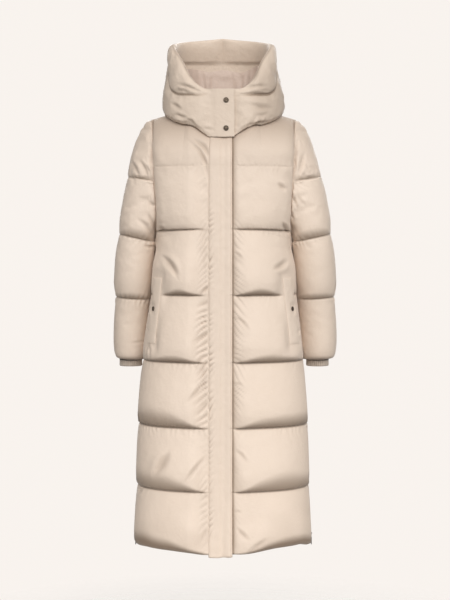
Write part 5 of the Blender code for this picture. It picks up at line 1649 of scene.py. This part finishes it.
def hood_piece(side, end):
    """A hood half, stitched at its lower edge, at the seam under the brim, at the rim and at its ends, with
    shade painted beside the seam and the rim.
    """
    inner, outer, turns = hood_grids(side, end, seam, ground)
    ways = unit_ways(outer - inner)
    rows = np.arange(inner.shape[0])
    sewn = np.zeros(inner.shape[:2], bool)
    sewn[rows <= len(HOOD_UNDER_SHARES)] = True
    sewn[HOOD_SEAM_ROW] = True
    sewn[-1] = True
    sewn[:, turns < HOOD_FLAT_END] = True
    sewn[:, -1] = True
    # painted shade beside the seam under the brim, and half as much beside the rim
    beside_seam = np.exp(-np.abs(rows - HOOD_SEAM_ROW) / 0.6) + 0.5 * np.exp(-np.abs(rows - rows[-1]) / 0.6)
    shade = beside_seam[:, None] * smooth(turns, HOOD_FLAT_END, 30)[None, :]
    named = dict(lining=inner, shell=outer, ways=ways, sewn=sewn, shade=shade)
    return SimpleNamespace(**named, side=side, turns=turns)


def loosened(piece, gain):
    """How far each point may move: not at a stitched line, and a little less beside it."""
    return np.clip(blurred(1.0 - piece.sewn, 1, piece.closed) * gain, 0, 1)


def prepare(name, piece):
    """How far each point may move, and where the cloth's wrinkles stay crisp."""
    piece.closed = name.startswith("sleeve")
    piece.loose = loosened(piece, NEAR_SEAM_LOOSE)
    piece.loose[piece.sewn] = 0
    x, z = np.abs(piece.shell[:, :, 0]), piece.shell[:, :, 2]
    if piece.closed:
        low, high = SLEEVE_CRISP
        piece.crisp = low + (high - low) * smooth(z, -0.40, -0.20)
        piece.swells = np.full(z.shape, SLEEVE_SWELLS)
    elif name.startswith("hood"):
        piece.crisp = np.full(z.shape, HOOD_CRISP)
        piece.swells = np.zeros(z.shape)
    else:
        piece.loose *= 1 - 0.8 * smooth(z, -0.15, -0.09)
        beside = smooth(x, 0.12, 0.17) * smooth(z, -0.5, -0.3)
        placket = (1 - smooth(x, 0.05, 0.09)) * (name != "back")
        piece.crisp = BODY_CRISP + (1 - BODY_CRISP) * np.maximum(beside, PLACKET_CRISP * placket)
        piece.swells = piece.ways[:, :, 1] ** 2


right = front_panel(PLACKET_RIGHT, HEM_LIFT_RIGHT, UNDERSIDE_RIGHT, beside_right)
left = front_panel(PLACKET_LEFT, HEM_LIFT_LEFT, UNDERSIDE_LEFT, beside_left, groove_painted_shade)
back_half = body_half(True, [], column_shares(BACK_CORNER), UNDERSIDE_BACK)
seam = neck_seam(right, left, back_half)
ground = Ground(((right, -1), (left, 1), (back_half, -1), (back_half, 1)))

panels = {
    "front_right": turned(right, -1),
    "front_left": left,
    "back": doubled(back_half),
    "sleeve_right": turned(sleeve_grids(-1), -1),
    "sleeve_left": sleeve_grids(1),
    "hood_right": hood_piece(-1, THROAT_END_RIGHT),
    "hood_left": hood_piece(1, THROAT_END_LEFT),
}
for name, piece in panels.items():
    prepare(name, piece)
simulate(list(panels.values()))

for piece in panels.values():
    piece.fine = finer(piece.shell, piece.closed)
    piece.fine_ways = unit_ways(finer(piece.ways, piece.closed))
    piece.fine_loose = np.clip(finer(loosened(piece, NEAR_SEAM_PRESSED), piece.closed), 0, 1)
    piece.fine_shade = np.clip(finer(piece.shade, piece.closed), 0, 1)

SIDE_HOLD = Table(  # how far outside the lining the sides are held, at the wearer's right and left
    ("z", "right", "left", "held"),
    (-1.300, 0.0135, 0.0075, 1.0),
    (-0.660, 0.0135, 0.0075, 1.0),
    (-0.560, 0.0080, 0.0080, 0.9),
    (-0.520, 0.0070, 0.0095, 1.0),
    (-0.400, 0.0065, 0.0095, 1.0),
    (-0.365, 0.0065, 0.0095, 0.0),
)
SIDE_SOFT = 0.0030
ARMPIT_FILL = 0.0045  # how far the down stands out against the sleeve just below the armpit
ARMPIT_FILL_Z = -0.356
BODY_PAINTED_SHADE = 0.045  # painted shade: the body is painted a little darker than the sleeves
ARMHOLE_LAP = 0.0014  # how far the sleeve's edge is pulled onto the body


def hang_straight(piece):
    """Holds the down in at the coat's sides, where it hangs nearly straight."""
    x, z = piece.fine[:, :, 0], piece.fine[:, :, 2]
    side = np.where(x > 0, 1.0, -1.0)
    width = np.interp(z, BODY.rows[:, 0], BODY.rows[:, 1])
    heights = SIDE_HOLD.rows[:, 0]
    right_out, left_out, strength = (np.interp(z, heights, SIDE_HOLD.rows[:, k]) for k in (1, 2, 3))
    limit = width + np.where(x > 0, left_out, right_out)
    over = np.abs(x) - limit
    held = np.where(over > -SIDE_SOFT, SIDE_SOFT * np.tanh((over + SIDE_SOFT) / SIDE_SOFT) - SIDE_SOFT, over)
    held = over + (held - over) * strength
    armpit = np.exp(-(((z - ARMPIT_FILL_Z) / 0.020) ** 2)) * smooth(np.abs(x), 0.135, 0.170)
    piece.fine[:, :, 0] = side * (limit + held + ARMPIT_FILL * armpit)


SLEEVE_CREASE_Z = (-0.205, -0.35, -0.515)
HOOD_CREASE_Z = (-0.03, 0.05, 0.13)
CROWN_CREASE_Z = (-0.01, 0.13, 0.17)
BACK_CREASE_Z = [-0.158, *QUILT_Z[1:]]
BODY_LINES = [2 * CHANNEL_ROWS * k for k in range(1, 7)]
SLEEVE_LINE_ROWS = [2 * SLEEVE_ROWS * k for k in range(1, 4)]
HOOD_EDGE_ROW = 2 * len(HOOD_UNDER_SHARES)
HOOD_LEFT_PAINTED_SHADE = 0.24  # painted shade: how much darker the hood's left side is painted where it turns away from the light
STUD_SEAT = 0.0024  # how far the cloth under a pocket snap is drawn in, below the stud's foot
PUCKER_RIGHT, PUCKER_LEFT = 0.0055, 0.0010  # how high the puckers beside the placket are
BODY_PUCKERS = (0.0011, 0.017, 0.016)  # how high puckers are, how far apart, and how far they reach
SLEEVE_PUCKERS = (0.0012, 0.016, 0.016)
HOOD_PUCKERS = (0.0022, 0.021, 0.020)
HEM_DUST = (-1.20, -1.02, 0.16)  # the heights where grime is heaviest and where it begins, and how dark it is
CUFF_DUST = (-0.70, -0.60, 0.14)
BODY_PANELS = ("front_right", "front_left", "back")
SLEEVES = ("sleeve_right", "sleeve_left")
HOODS = ("hood_right", "hood_left")

for name, rows in CREASES.items():
    pressed(panels[name], rows, facing=FRONT)
pressed(panels["back"], scattered(11, 30, (-0.19, 0.19), BACK_CREASE_Z, 0.085), facing=BEHIND)
for seed, name in enumerate(SLEEVES, 12):
    side = panels[name].side
    pressed(panels[name], scattered(seed, 9, (-0.05, 0.09), SLEEVE_CREASE_Z, 0.06), (1, 2), (side, 0, 0))
    across = sorted((0.19 * side, 0.26 * side))
    pressed(panels[name], scattered(seed + 10, 8, across, SLEEVE_CREASE_Z, 0.055), facing=BEHIND)
for seed, name, side in ((31, "front_right", -1), (32, "front_left", 1), (33, "back", -1), (34, "back", 1)):
    reach = (0.0, 0.10) if name == "back" else (-0.10, 0.0)
    pressed(panels[name], scattered(seed, 7, reach, BACK_CREASE_Z[1:5], 0.06), (1, 2), (side, 0, 0))
placket_puckers(panels["front_right"], PLACKET_RIGHT, PUCKER_RIGHT)
placket_puckers(panels["front_left"], PLACKET_LEFT, PUCKER_LEFT)
for seed, name in enumerate(BODY_PANELS, 20):
    seam_puckers(panels[name], BODY_LINES, *BODY_PUCKERS, seed)
for seed, name in enumerate(SLEEVES, 30):
    seam_puckers(panels[name], SLEEVE_LINE_ROWS, *SLEEVE_PUCKERS, seed)
for name in BODY_PANELS:
    darkened(panels[name], BODY_PAINTED_SHADE)
    hang_straight(panels[name])
    dusty(panels[name], *HEM_DUST)
# painted shade on the hood's left side, where it turns away from the light
x, z = panels["hood_left"].fine[:, :, 0], panels["hood_left"].fine[:, :, 2]
darkened(panels["hood_left"], HOOD_LEFT_PAINTED_SHADE * smooth(x, 0.055, 0.115) * (1 - smooth(z, 0.08, 0.14)))
for seed, name in enumerate(HOODS, 50):
    side = panels[name].side
    pressed(panels[name], scattered(seed, 8, (-0.04, 0.10), HOOD_CREASE_Z, 0.06), (1, 2), (side, 0, 0))
    pressed(panels[name], scattered(seed + 3, 8, (-0.11, 0.11), CROWN_CREASE_Z, 0.06), facing=BEHIND)
    seam_puckers(panels[name], [HOOD_EDGE_ROW], *HOOD_PUCKERS, seed)
for name in SLEEVES:
    dusty(panels[name], *CUFF_DUST)
    rows = np.arange(panels[name].fine.shape[0])
    panels[name].fine[:, :, 0] -= panels[name].side * ARMHOLE_LAP * np.exp(-rows / 3)[:, None]
seated(panels["front_right"], "pocket_snap_right", STUD_SEAT)
seated(panels["front_left"], "pocket_snap_left", STUD_SEAT)


def dressed(made, *nodes, slot="shell", body="coat", fill=None):
    """Hangs a finished piece on its body and hides the nodes that it stands for. slot and fill are not used.
    """
    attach(made, body)
    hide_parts(*nodes)
    return made


for name, piece in panels.items():
    cloth = HOOD_SATIN_PAINTED_DARKER if name.startswith("hood") else SHELL
    made = solid(name + "_shell", piece.lining, piece.fine, cloth, piece.closed, shade=piece.fine_shade)
    dressed(made, name, fill=0.7)

COLLAR_DROP = 0.008
COLLAR_WAVE = 0.010
COLLAR_GATHER = 0.0035
COLLAR_GATHERED = (138, 24)  # the angle where its lining is gathered most, and how far round that reaches
COLLAR_GATHERS = 26  # gathers in a turn


def collar_piece():
    """The stand collar: its top edge sags unevenly, and its lining is gathered beside the hood's brim."""
    inner, outer = (finer(grid) for grid in collar_grids(seam))
    rise = np.linspace(0, 1, inner.shape[0])[:, None]
    wave = noise_at(inner * [1, 1, 0], 17.0, 8.0)
    behind_neck = smooth(inner[:, :, 1], -0.02, 0.03)
    for grid in (inner, outer):
        grid[:, :, 2] -= rise**2 * (COLLAR_DROP * behind_neck + COLLAR_WAVE * wave * behind_neck)
    ways = unit_ways(outer - inner)
    around = np.degrees(np.arctan2(inner[:, :, 0], -inner[:, :, 1]))
    middle, reach = COLLAR_GATHERED
    beside = np.exp(-(((np.abs(around) - middle) / reach) ** 2))
    gathers = np.sin(np.radians(around * COLLAR_GATHERS) + 5.0 * noise_at(inner, 20.0, 9.0)) * beside
    broad = noise_at(inner * [1, 1, 1.8], 26.0, 10.0) + 0.6 * noise_at(inner * [1, 1, 0.5], 60.0, 12.0)
    inside = smooth(rise, 0.05, 0.3) * smooth(1 - rise, 0.0, 0.12)
    amount = COLLAR_GATHER * (0.55 * gathers + 0.8 * broad) * inside
    inner = inner - ways * np.clip(amount, -0.0015, 0.006)[:, :, None]
    # the lining satin carries painted shade for the collar inside the hood
    return solid("collar_shell", inner, outer, LINING_SATIN_PAINTED_DARKER)


dressed(collar_piece(), "collar", fill=0.5)


# ---------------------------------------------------------------- placket and pocket welts


def resampled(grid, rows, columns):
    """A patch of a grid on other rows and columns, given as places along them."""
    def read(values, places):
        low = np.clip(np.floor(places).astype(int), 0, len(values) - 2)
        part = (places - low).reshape(-1, *([1] * (values.ndim - 1)))
        return values[low] * (1 - part) + values[low + 1] * part

    return np.swapaxes(read(np.swapaxes(read(grid, rows), 0, 1), columns), 0, 1)


def pillow(width, length, edge):
    """Heights over a patch, 0 at its borders and 1 inside, with round edges."""
    u = np.linspace(0, 1, width)[None, :]
    v = np.linspace(0, 1, length)[:, None]
    sides = soft_rise(np.minimum(u, 1 - u), edge)
    return np.minimum(sides, soft_rise(np.minimum(v, 1 - v), edge * width / length))


FLAP_COLUMNS = 33
FLAP_TUCKED = 0.0009  # how deep the flap's sewn edge goes into the seam
FLAP_STITCHED = -4  # the column of the flap's points that its stitches follow
FLAP_RIPPLE = 0.0010
FLAP_TUCK = 0.0032


def placket_piece():
    """The flap's two faces and the shade painted on it: it lies on both fronts, with waves, and with tucks at
    its seam.
    """
    grids = []
    for name in ("fine", "fine_ways"):
        a = getattr(panels["front_right"], name)[:, 2 * right.placket :: -1]
        b = getattr(panels["front_left"], name)[:, : 2 * left.placket + 1]
        grids.append(np.concatenate([a, b], axis=1))
    rows = np.arange(grids[0].shape[0] * 1.0)
    columns = np.linspace(0, grids[0].shape[1] - 1, FLAP_COLUMNS)
    shell, ways = (resampled(grid, rows, columns) for grid in grids)
    ways = unit_ways(ways)
    across = np.linspace(0, 1, FLAP_COLUMNS)[None, :]
    tucked = (SEAM_GAP + FLAP_TUCKED) * (1 - smooth(across, 0.0, 0.06))
    inner = shell + ways * (SEAM_GAP - tucked)[:, :, None]
    inner[:, :, 2] -= PLACKET_DROP * (1 - smooth(shell[:, :, 2] - HEM_Z, 0.0, 0.03))
    up = inner[:, :, 2]
    body = soft_rise(across, 0.22) * np.sqrt(np.clip((1 - across) / 0.03, 0.2, 1))
    ripple = 0.5 * noise_at(inner * [1.6, 1, 0.35], 30.0, 61.0) + 0.5 * noise_at(inner, 55.0, 64.0)
    ripple = ripple * smooth(across, 0.0, 0.1) * (1 - smooth(across, 0.93, 1))
    near_seam = (1 - smooth(across, 0.06, 0.34)) * smooth(across, 0, 0.03)
    tucks = (slanting_waves(inner, PLACKET_RIGHT) - PUCKER_LEVEL) * near_seam
    tucks = tucks * np.clip(1.0 + 1.6 * noise_at(inner * [0.2, 0.2, 1], 13.0, 6.0), 0.1, 1.4)
    below_chest = smooth(-up, 0.2, 0.35)
    height = (PLACKET_WALL + 0.0005) * body + FLAP_RIPPLE * ripple + FLAP_TUCK * tucks * below_chest
    # painted shade: in the tucks, on the whole flap a little, and more towards the top under the hood
    dark = PUCKER_PAINTED_SHADE * np.clip(-0.25 - tucks, 0, 1) * below_chest
    dark += 0.07 + 0.07 * smooth(up, -0.28, -0.12) + 0.16 * smooth(up, -0.13, -0.09)
    return inner, inner + ways * np.maximum(height, 0.0002)[:, :, None], np.clip(dark, 0, 1)


inner_flap, outer_flap, dark = placket_piece()
placket = solid("placket_flap", inner_flap, outer_flap, SHELL, shade=dark)
dressed(placket, "placket")
flap_length = float(lengths_along(inner_flap[:, FLAP_COLUMNS // 2])[-1])


WELT_EDGE = 0.0006
WELT_THICK = 0.0014
WELT_ROWS = 90
WELT_COLUMNS = 19


def welt_piece(name, piece, columns):
    body_z = piece.lining[: 6 * CHANNEL_ROWS, columns.start, 2]
    low, high = (2 * int(np.argmin(np.abs(body_z - value))) for value in POCKET_Z)
    rows = np.linspace(low, high, WELT_ROWS)
    places = np.linspace(2 * columns.start, 2 * (columns.stop - 1), WELT_COLUMNS)
    ways = unit_ways(resampled(piece.fine_ways, rows, places))
    inner = resampled(piece.fine, rows, places) + ways * SEAM_GAP
    swell = pillow(WELT_COLUMNS, WELT_ROWS, 0.30)
    height = WELT_EDGE + WELT_THICK * swell + 0.0005 * noise_at(inner, 45.0, 71.0) * swell
    welt = solid(name + "_strip", inner, inner + ways * height[:, :, None], SHELL)
    dressed(welt, name, fill=0.4)


welt_piece("pocket_welt_right", panels["front_right"], right.welt)
welt_piece("pocket_welt_left", panels["front_left"], left.welt)

# ---------------------------------------------------------------- cuffs, press studs, zips and pulls

CUFF_ROWS = 20
CUFF_STEPS = 8  # points over one rib
RIB_ROUND = 0.7  # under 1 a rib is rounder than a wave
CUFF_UNEVEN = 0.0004
CUFF_HEM = 0.0009  # how far its lower edge is drawn in, and how far it swells just above that
CUFF_BEAD = 0.0004
RIB_PAINTED_SHADE = 0.35  # how much shade is painted on the cuff between two ribs
CUFF_PAINTED_SHADOW = (-0.7012, -0.6982)  # painted shadow: the cuff is painted dark from here up, inside the sleeve's end


def cuff_piece(name):
    """A ribbed knit tube, a little uneven, with a soft lower edge, and shade painted under the sleeve's end
    and between its ribs.
    """
    low, high = (np.array(corner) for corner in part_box(name))
    middle = (low + high) / 2
    turns = np.linspace(0, 2 * math.pi, RIBS * CUFF_STEPS, endpoint=False)
    ways = np.stack([np.cos(turns), np.sin(turns), np.zeros(len(turns))], axis=1)
    ribs = np.abs(np.cos(turns * RIBS / 2)) ** RIB_ROUND
    inner, outer = [], []
    for share in np.linspace(0, 1, CUFF_ROWS):
        z = high[2] + (low[2] - high[2]) * share
        place = np.array([middle[0], middle[1], z])
        uneven = CUFF_UNEVEN * noise_at(ways[None] * 0.03 + place, 45.0, 4.0)[0]
        hem = CUFF_HEM * smooth(share, 0.93, 1.0) - CUFF_BEAD * math.exp(-(((share - 0.88) / 0.05) ** 2))
        radius = CUFF_RADIUS - RIB_HEIGHT * (1 - ribs) - hem + uneven
        outer.append(place + ways * radius[:, None])
        inner.append(place + ways * (CUFF_RADIUS - RIB_HEIGHT - CUFF_WALL + 0.4 * hem))
    inner, outer = np.array(inner), np.array(outer)
    # painted shade: a dark band under the sleeve's end, and darker grooves between the ribs
    dark = smooth(outer[:, :, 2], *CUFF_PAINTED_SHADOW) + RIB_PAINTED_SHADE * (1 - ribs)[None, :]
    made = solid(name + "_knit", inner, outer, KNIT, True, None, dark)
    dressed(made, name, slot="knit")


for name in ("cuff_right", "cuff_left"):
    cuff_piece(name)

STUD_PROFILE = (
    (0.90, -0.45), (1.00, -0.10), (1.03, 0.35), (1.00, 0.70), (0.93, 0.95), (0.84, 1.00), (0.76, 0.88),
    (0.71, 0.62), (0.66, 0.56), (0.56, 0.70), (0.40, 0.80), (0.26, 0.80), (0.18, 0.68), (0.10, 0.60),
)
STUD_STEPS = 40
STUD_HEIGHT = 0.0022
THROAT_STUD_RADIUS = 0.0070
POCKET_STUD_RADIUS = 0.0062


def stud_piece(node, radius):
    """A press stud's cap where its solid is: a rolled rim, a groove, and a low dome with a dimple."""
    middle, way, foot = stud_place(node)
    across = unit(np.cross(way, (0, 0, 1)))
    up = np.cross(way, across)
    corners = []
    for share, height in STUD_PROFILE:
        for turn in np.linspace(0, 2 * math.pi, STUD_STEPS, endpoint=False):
            spoke = across * math.cos(turn) + up * math.sin(turn)
            corners.append(middle + way * (foot + STUD_HEIGHT * height) + spoke * radius * share)
    mesh = mesh_from(node, corners, capped_faces(len(STUD_PROFILE), STUD_STEPS))
    turn_outwards(mesh)
    dressed(linked(node + "_cap", mesh, STUD), node, slot="metal")


for name in ("throat_snap_upper", "throat_snap_lower"):
    stud_piece(name, THROAT_STUD_RADIUS)
for name in ("pocket_snap_right", "pocket_snap_left"):
    stud_piece(name, POCKET_STUD_RADIUS)


BLOCK_SIDES = ((0, 3, 2, 1), (4, 5, 6, 7), (0, 1, 5, 4), (1, 2, 6, 5), (2, 3, 7, 6), (3, 0, 4, 7))
BLOCK_SHARP = 40


def blocks_piece(name, blocks, material):
    """One object of many small blocks, each given by its eight corners: four below, then four above."""
    points = [corner for block in blocks for corner in block]
    faces = [[8 * k + corner for corner in side] for k in range(len(blocks)) for side in BLOCK_SIDES]
    mesh = mesh_from(name, points, faces)
    turn_outwards(mesh)
    return linked(name, mesh, material, BLOCK_SHARP)


ZIP_FROM_SEAM = SEAM_WALL + SEAM_GAP
ZIP_TAPE_HALF = 0.0032
ZIP_TAPE_THICK = 0.0007
ZIP_TOOTH = (0.0020, 0.0012, 0.0010)  # a tooth's size across, down and out
ZIP_TOOTH_TOP = 0.7  # how much narrower a tooth's top is
ZIP_TOOTH_OFF = 0.0005  # how far the teeth of a tape are from the middle
ZIP_TAPE_GAP = 0.0004
ZIP_TAPE_ROWS = 40
ZIP_END = 0.001
ZIP_PITCH = 0.0018


def side_zip_piece(name, side):
    """The closed zip in a side seam: two tapes and the teeth of both, one after the other."""
    low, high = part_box(name)
    tapes, teeth = [], []
    heights = np.linspace(low.z, high.z, ZIP_TAPE_ROWS)
    for near, far in ((-ZIP_TAPE_HALF, -ZIP_TAPE_GAP), (ZIP_TAPE_GAP, ZIP_TAPE_HALF)):
        for a, b in zip(heights, heights[1:]):
            block = []
            for out in (0.0, ZIP_TAPE_THICK):
                for z, y in ((a, near), (a, far), (b, far), (b, near)):
                    block.append((side * (BODY.at(z).half_width + ZIP_FROM_SEAM + out), y, z))
            tapes.append(block)
    wide, tall, thick = ZIP_TOOTH
    for k, z in enumerate(np.arange(low.z + ZIP_END, high.z - ZIP_END, ZIP_PITCH / 2)):
        middle = ZIP_TOOTH_OFF if k % 2 else -ZIP_TOOTH_OFF
        x = BODY.at(z).half_width + ZIP_FROM_SEAM + ZIP_TAPE_THICK
        block = []
        for out, narrow in ((0.0, 1.0), (thick, ZIP_TOOTH_TOP)):
            for down, across in ((-1, -1), (-1, 1), (1, 1), (1, -1)):
                y = middle + across * narrow * wide / 2
                block.append((side * (x + out), y, z + down * narrow * tall / 2 * 0.7))
        teeth.append(block)
    dressed(blocks_piece(name + "_tape", tapes, TAPE), name, slot="zip")
    dressed(blocks_piece(name + "_teeth", teeth, TEETH), name, slot="zip")


side_zip_piece("side_zip_right", -1)
side_zip_piece("side_zip_left", 1)

PULL_LENGTH = 0.0325
PULL_WIDE = 0.0052
PULL_THICK = 0.0012
PULL_BAR = 0.0012
PULL_SHARP = 50  # in degrees
WINDOW_WIDE = 0.0028
WINDOW_HIGH = 0.0056
GRIP_TOP = -0.0095  # the moulded grip begins this far below the pull's axis
GRIP_THICK = 0.0026
GRIP_WIDE = 0.0060
GRIP_ROWS = 26
GRIP_STEPS = 20


def pull_piece(name, body):
    """A pull tab where its solid is: a plate with a window, and a thicker, rounded grip below it."""
    low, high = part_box(name)
    place = np.array([(low.x + high.x) / 2, (low.y + high.y) / 2, high.z - PULL_BAR / 2])
    half = PULL_WIDE / 2
    foot = GRIP_TOP - 0.004
    outline = [(-half * 0.8, PULL_BAR / 2), (half * 0.8, PULL_BAR / 2), (half, -half), (half, foot)]
    outline += [(-half, foot), (-half, -half)]
    hole, top = WINDOW_WIDE / 2, -PULL_BAR / 2
    window = [(-hole, top), (hole, top), (hole, top - WINDOW_HIGH), (-hole, top - WINDOW_HIGH)]
    bm = bmesh.new()
    for level in (-1, 1):
        x = level * PULL_THICK / 2
        rings = [[bm.verts.new((x, across, up)) for across, up in loop] for loop in (outline, window)]
        edges = [bm.edges.new(ends) for ring in rings for ends in zip(ring, ring[1:] + ring[:1])]
        bmesh.ops.triangle_fill(bm, edges=edges, use_beauty=True)
        if level < 0:
            behind = rings
    walls = list(zip(behind, rings))
    rows = []
    for z in np.linspace(GRIP_TOP, -PULL_LENGTH, GRIP_ROWS):
        share = (GRIP_TOP - z) / (GRIP_TOP + PULL_LENGTH)
        full = soft_rise(min(share, 1 - share), 0.16)
        waist = 1 - 0.10 * math.sin(math.pi * share)
        ring = []
        for turn in np.linspace(0, 2 * math.pi, GRIP_STEPS, endpoint=False):
            wide = max(GRIP_WIDE / 2 * waist * full, 0.0002)
            thick = max(GRIP_THICK / 2 * full, 0.0002)
            across = wide * signed_power(math.cos(turn), 0.6)
            ring.append(bm.verts.new((thick * signed_power(math.sin(turn), 0.6), across, z)))
        rows.append(ring)
    for first, second in walls + list(zip(rows, rows[1:])):
        for k in range(len(first)):
            n = (k + 1) % len(first)
            bm.faces.new((first[k], first[n], second[n], second[k]))
    bm.faces.new(rows[0])
    bm.faces.new(rows[-1][::-1])
    bmesh.ops.recalc_face_normals(bm, faces=bm.faces)
    bmesh.ops.translate(bm, vec=place, verts=bm.verts)
    mesh = bpy.data.meshes.new(name)
    bm.to_mesh(mesh)
    bm.free()
    dressed(linked(name + "_tab", mesh, TAB, PULL_SHARP), name, slot="metal", body=body)


pull_piece("side_pull_right", "pull_right")
pull_piece("side_pull_left", "pull_left")

for name, finish in (("front_zip", TAPE), ("side_slider_right", TAB), ("side_slider_left", TAB)):
    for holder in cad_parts[name].material_slots:
        holder.material = finish

# ---------------------------------------------------------------- stitches

STITCH_APART = 0.0034
STITCH_LENGTH = 0.0026
STITCH_RADIUS = 0.00034
STITCH_SIDES = 6
STITCH_STEP = 0.001  # how far ahead on its line a stitch aims
# A stitch's rings: how far along it they are, how thick, and how far out of the cloth.
STITCH_PROFILE = ((-0.5, 0.25, -0.6), (-0.3, 1.0, 0.5), (0.3, 1.0, 0.5), (0.5, 0.25, -0.6))


def stitch_mesh(name, lines):
    """A row of stitches along each line: short rounded threads whose ends go into the cloth.

    lines are pairs of grids: the points of the line, and the ways out of the cloth.
    """
    points, faces = [], []
    turns = np.linspace(0, 2 * math.pi, STITCH_SIDES, endpoint=False)
    for line, ways in lines:
        lengths = lengths_along(line)
        for at in np.arange(STITCH_APART, lengths[-1] - STITCH_APART, STITCH_APART):
            here, ahead = (read_line(place, lengths, line) for place in (at, at + STITCH_STEP))
            way = unit(read_line(at, lengths, ways))
            tangent = unit(ahead - here)
            across = np.cross(tangent, way)
            faces += capped_faces(len(STITCH_PROFILE), STITCH_SIDES, len(points))
            for share, thick, deep in STITCH_PROFILE:
                middle = here + tangent * STITCH_LENGTH * share + way * STITCH_RADIUS * deep
                for turn in turns:
                    spoke = across * math.cos(turn) + way * math.sin(turn)
                    points.append(middle + spoke * STITCH_RADIUS * thick)
    made = linked(name, mesh_from(name, points, faces), THREAD)
    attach(made, "coat")


def row_lines(piece, rows, columns=slice(None)):
    """The lines of a piece's stitched rows, and the ways out of the cloth along them."""
    lines = []
    for row in rows:
        line, ways = piece.fine[row, columns], piece.fine_ways[row, columns]
        if piece.closed:
            line, ways = np.vstack([line, line[:1]]), np.vstack([ways, ways[:1]])
        lines.append((line, ways))
    return lines


def outside_welt(panel, half, row):
    """Whether a quilting line is stitched right across a front, or only up to its pocket."""
    z = panel.fine[row, 2 * half.welt.start, 2]
    low, high = POCKET_Z
    inner, outer = 2 * half.placket + 8, 2 * half.welt.start
    return slice(inner, outer if low < z < high else None)


for name, half in (("front_right", right), ("front_left", left)):
    lines = [row_lines(panels[name], [row], outside_welt(panels[name], half, row))[0] for row in BODY_LINES]
    stitch_mesh(name + "_stitches", lines)
stitch_mesh("back_stitches", row_lines(panels["back"], BODY_LINES))
for name in SLEEVES:
    stitch_mesh(name + "_stitches", row_lines(panels[name], SLEEVE_LINE_ROWS))
for name in HOODS:
    around = slice(2 * int(np.searchsorted(panels[name].turns, HOOD_FLAT_END)), None)
    stitch_mesh(name + "_stitches", row_lines(panels[name], [2 * HOOD_SEAM_ROW], around))
flap_ways = unit_ways(outer_flap - inner_flap)
stitch_mesh("placket_stitches", [(outer_flap[:, FLAP_STITCHED], flap_ways[:, FLAP_STITCHED])])

# ---------------------------------------------------------------- light, floor and camera

CAMERA_PLACE = Vector((0.0042, -3.5, -0.386))
CAMERA_AIM = Vector((0.0042, 0, -0.526))
CAMERA_LENS = 75.06
camera = bpy.data.objects.new("camera", bpy.data.cameras.new("camera"))
camera.location = CAMERA_PLACE
camera.rotation_euler = (CAMERA_AIM - CAMERA_PLACE).to_track_quat("-Z", "Y").to_euler()
camera.data.lens = CAMERA_LENS
camera.data.sensor_width = 36
bpy.context.scene.collection.objects.link(camera)
bpy.context.scene.camera = camera

BACKDROP = (0.945, 0.897, 0.855)
SKY = (1.0, 0.97, 0.94)
SKY_RISE = (-0.35, 0.35)
SKY_STRENGTH = (0.04, 0.42)
world = bpy.data.worlds.new("studio")
studio = Wiring(world)
studio.tree.nodes.clear()
rise = studio.add("SeparateXYZ", {0: studio.add("TexCoord").outputs["Generated"]}).outputs["Z"]
limits = dict(zip(("From Min", "From Max", "To Min", "To Max"), (*SKY_RISE, *SKY_STRENGTH)))
strength = studio.add("MapRange", {"Value": rise, **limits}).outputs["Result"]
sky = studio.add("Background", {"Color": (*SKY, 1), "Strength": strength})
backdrop = studio.add("Background", {"Color": (*BACKDROP, 1)})
seen = studio.add("LightPath").outputs["Is Camera Ray"]
mixed = studio.add("MixShader", {0: seen, 1: sky.outputs[0], 2: backdrop.outputs[0]})
studio.add("OutputWorld", {0: mixed.outputs[0]})
bpy.context.scene.world = world


def sun(name, towards, strength, softness):
    """Even light from far away: towards points at where it comes from, and softness is in degrees."""
    lamp = bpy.data.lights.new(name, "SUN")
    lamp.energy = strength
    lamp.angle = math.radians(softness)
    holder = bpy.data.objects.new(name, lamp)
    holder.rotation_euler = Vector(towards).to_track_quat("Z", "Y").to_euler()
    bpy.context.scene.collection.objects.link(holder)


sun("key", (0.15, -1.0, 0.42), 2.1, 45)
sun("right", (1.0, -0.75, 0.35), 0.65, 45)
sun("left", (-0.8, -1.0, 0.40), 0.7, 45)
sun("back", (0.10, 1.0, 0.34), 2.1, 50)

FLOOR_RADIUS = 2.4
FLOOR_Z = -1.62
bm = bmesh.new()
bmesh.ops.create_circle(bm, cap_ends=True, segments=96, radius=FLOOR_RADIUS)
floor_mesh = bpy.data.meshes.new("floor")
bm.to_mesh(floor_mesh)
bm.free()
floor = bpy.data.objects.new("floor", floor_mesh)
floor.location.z = FLOOR_Z
bpy.context.scene.collection.objects.link(floor)
floor_mesh.materials.append(FLOOR)
bpy.context.scene.view_settings.view_transform = "Standard"
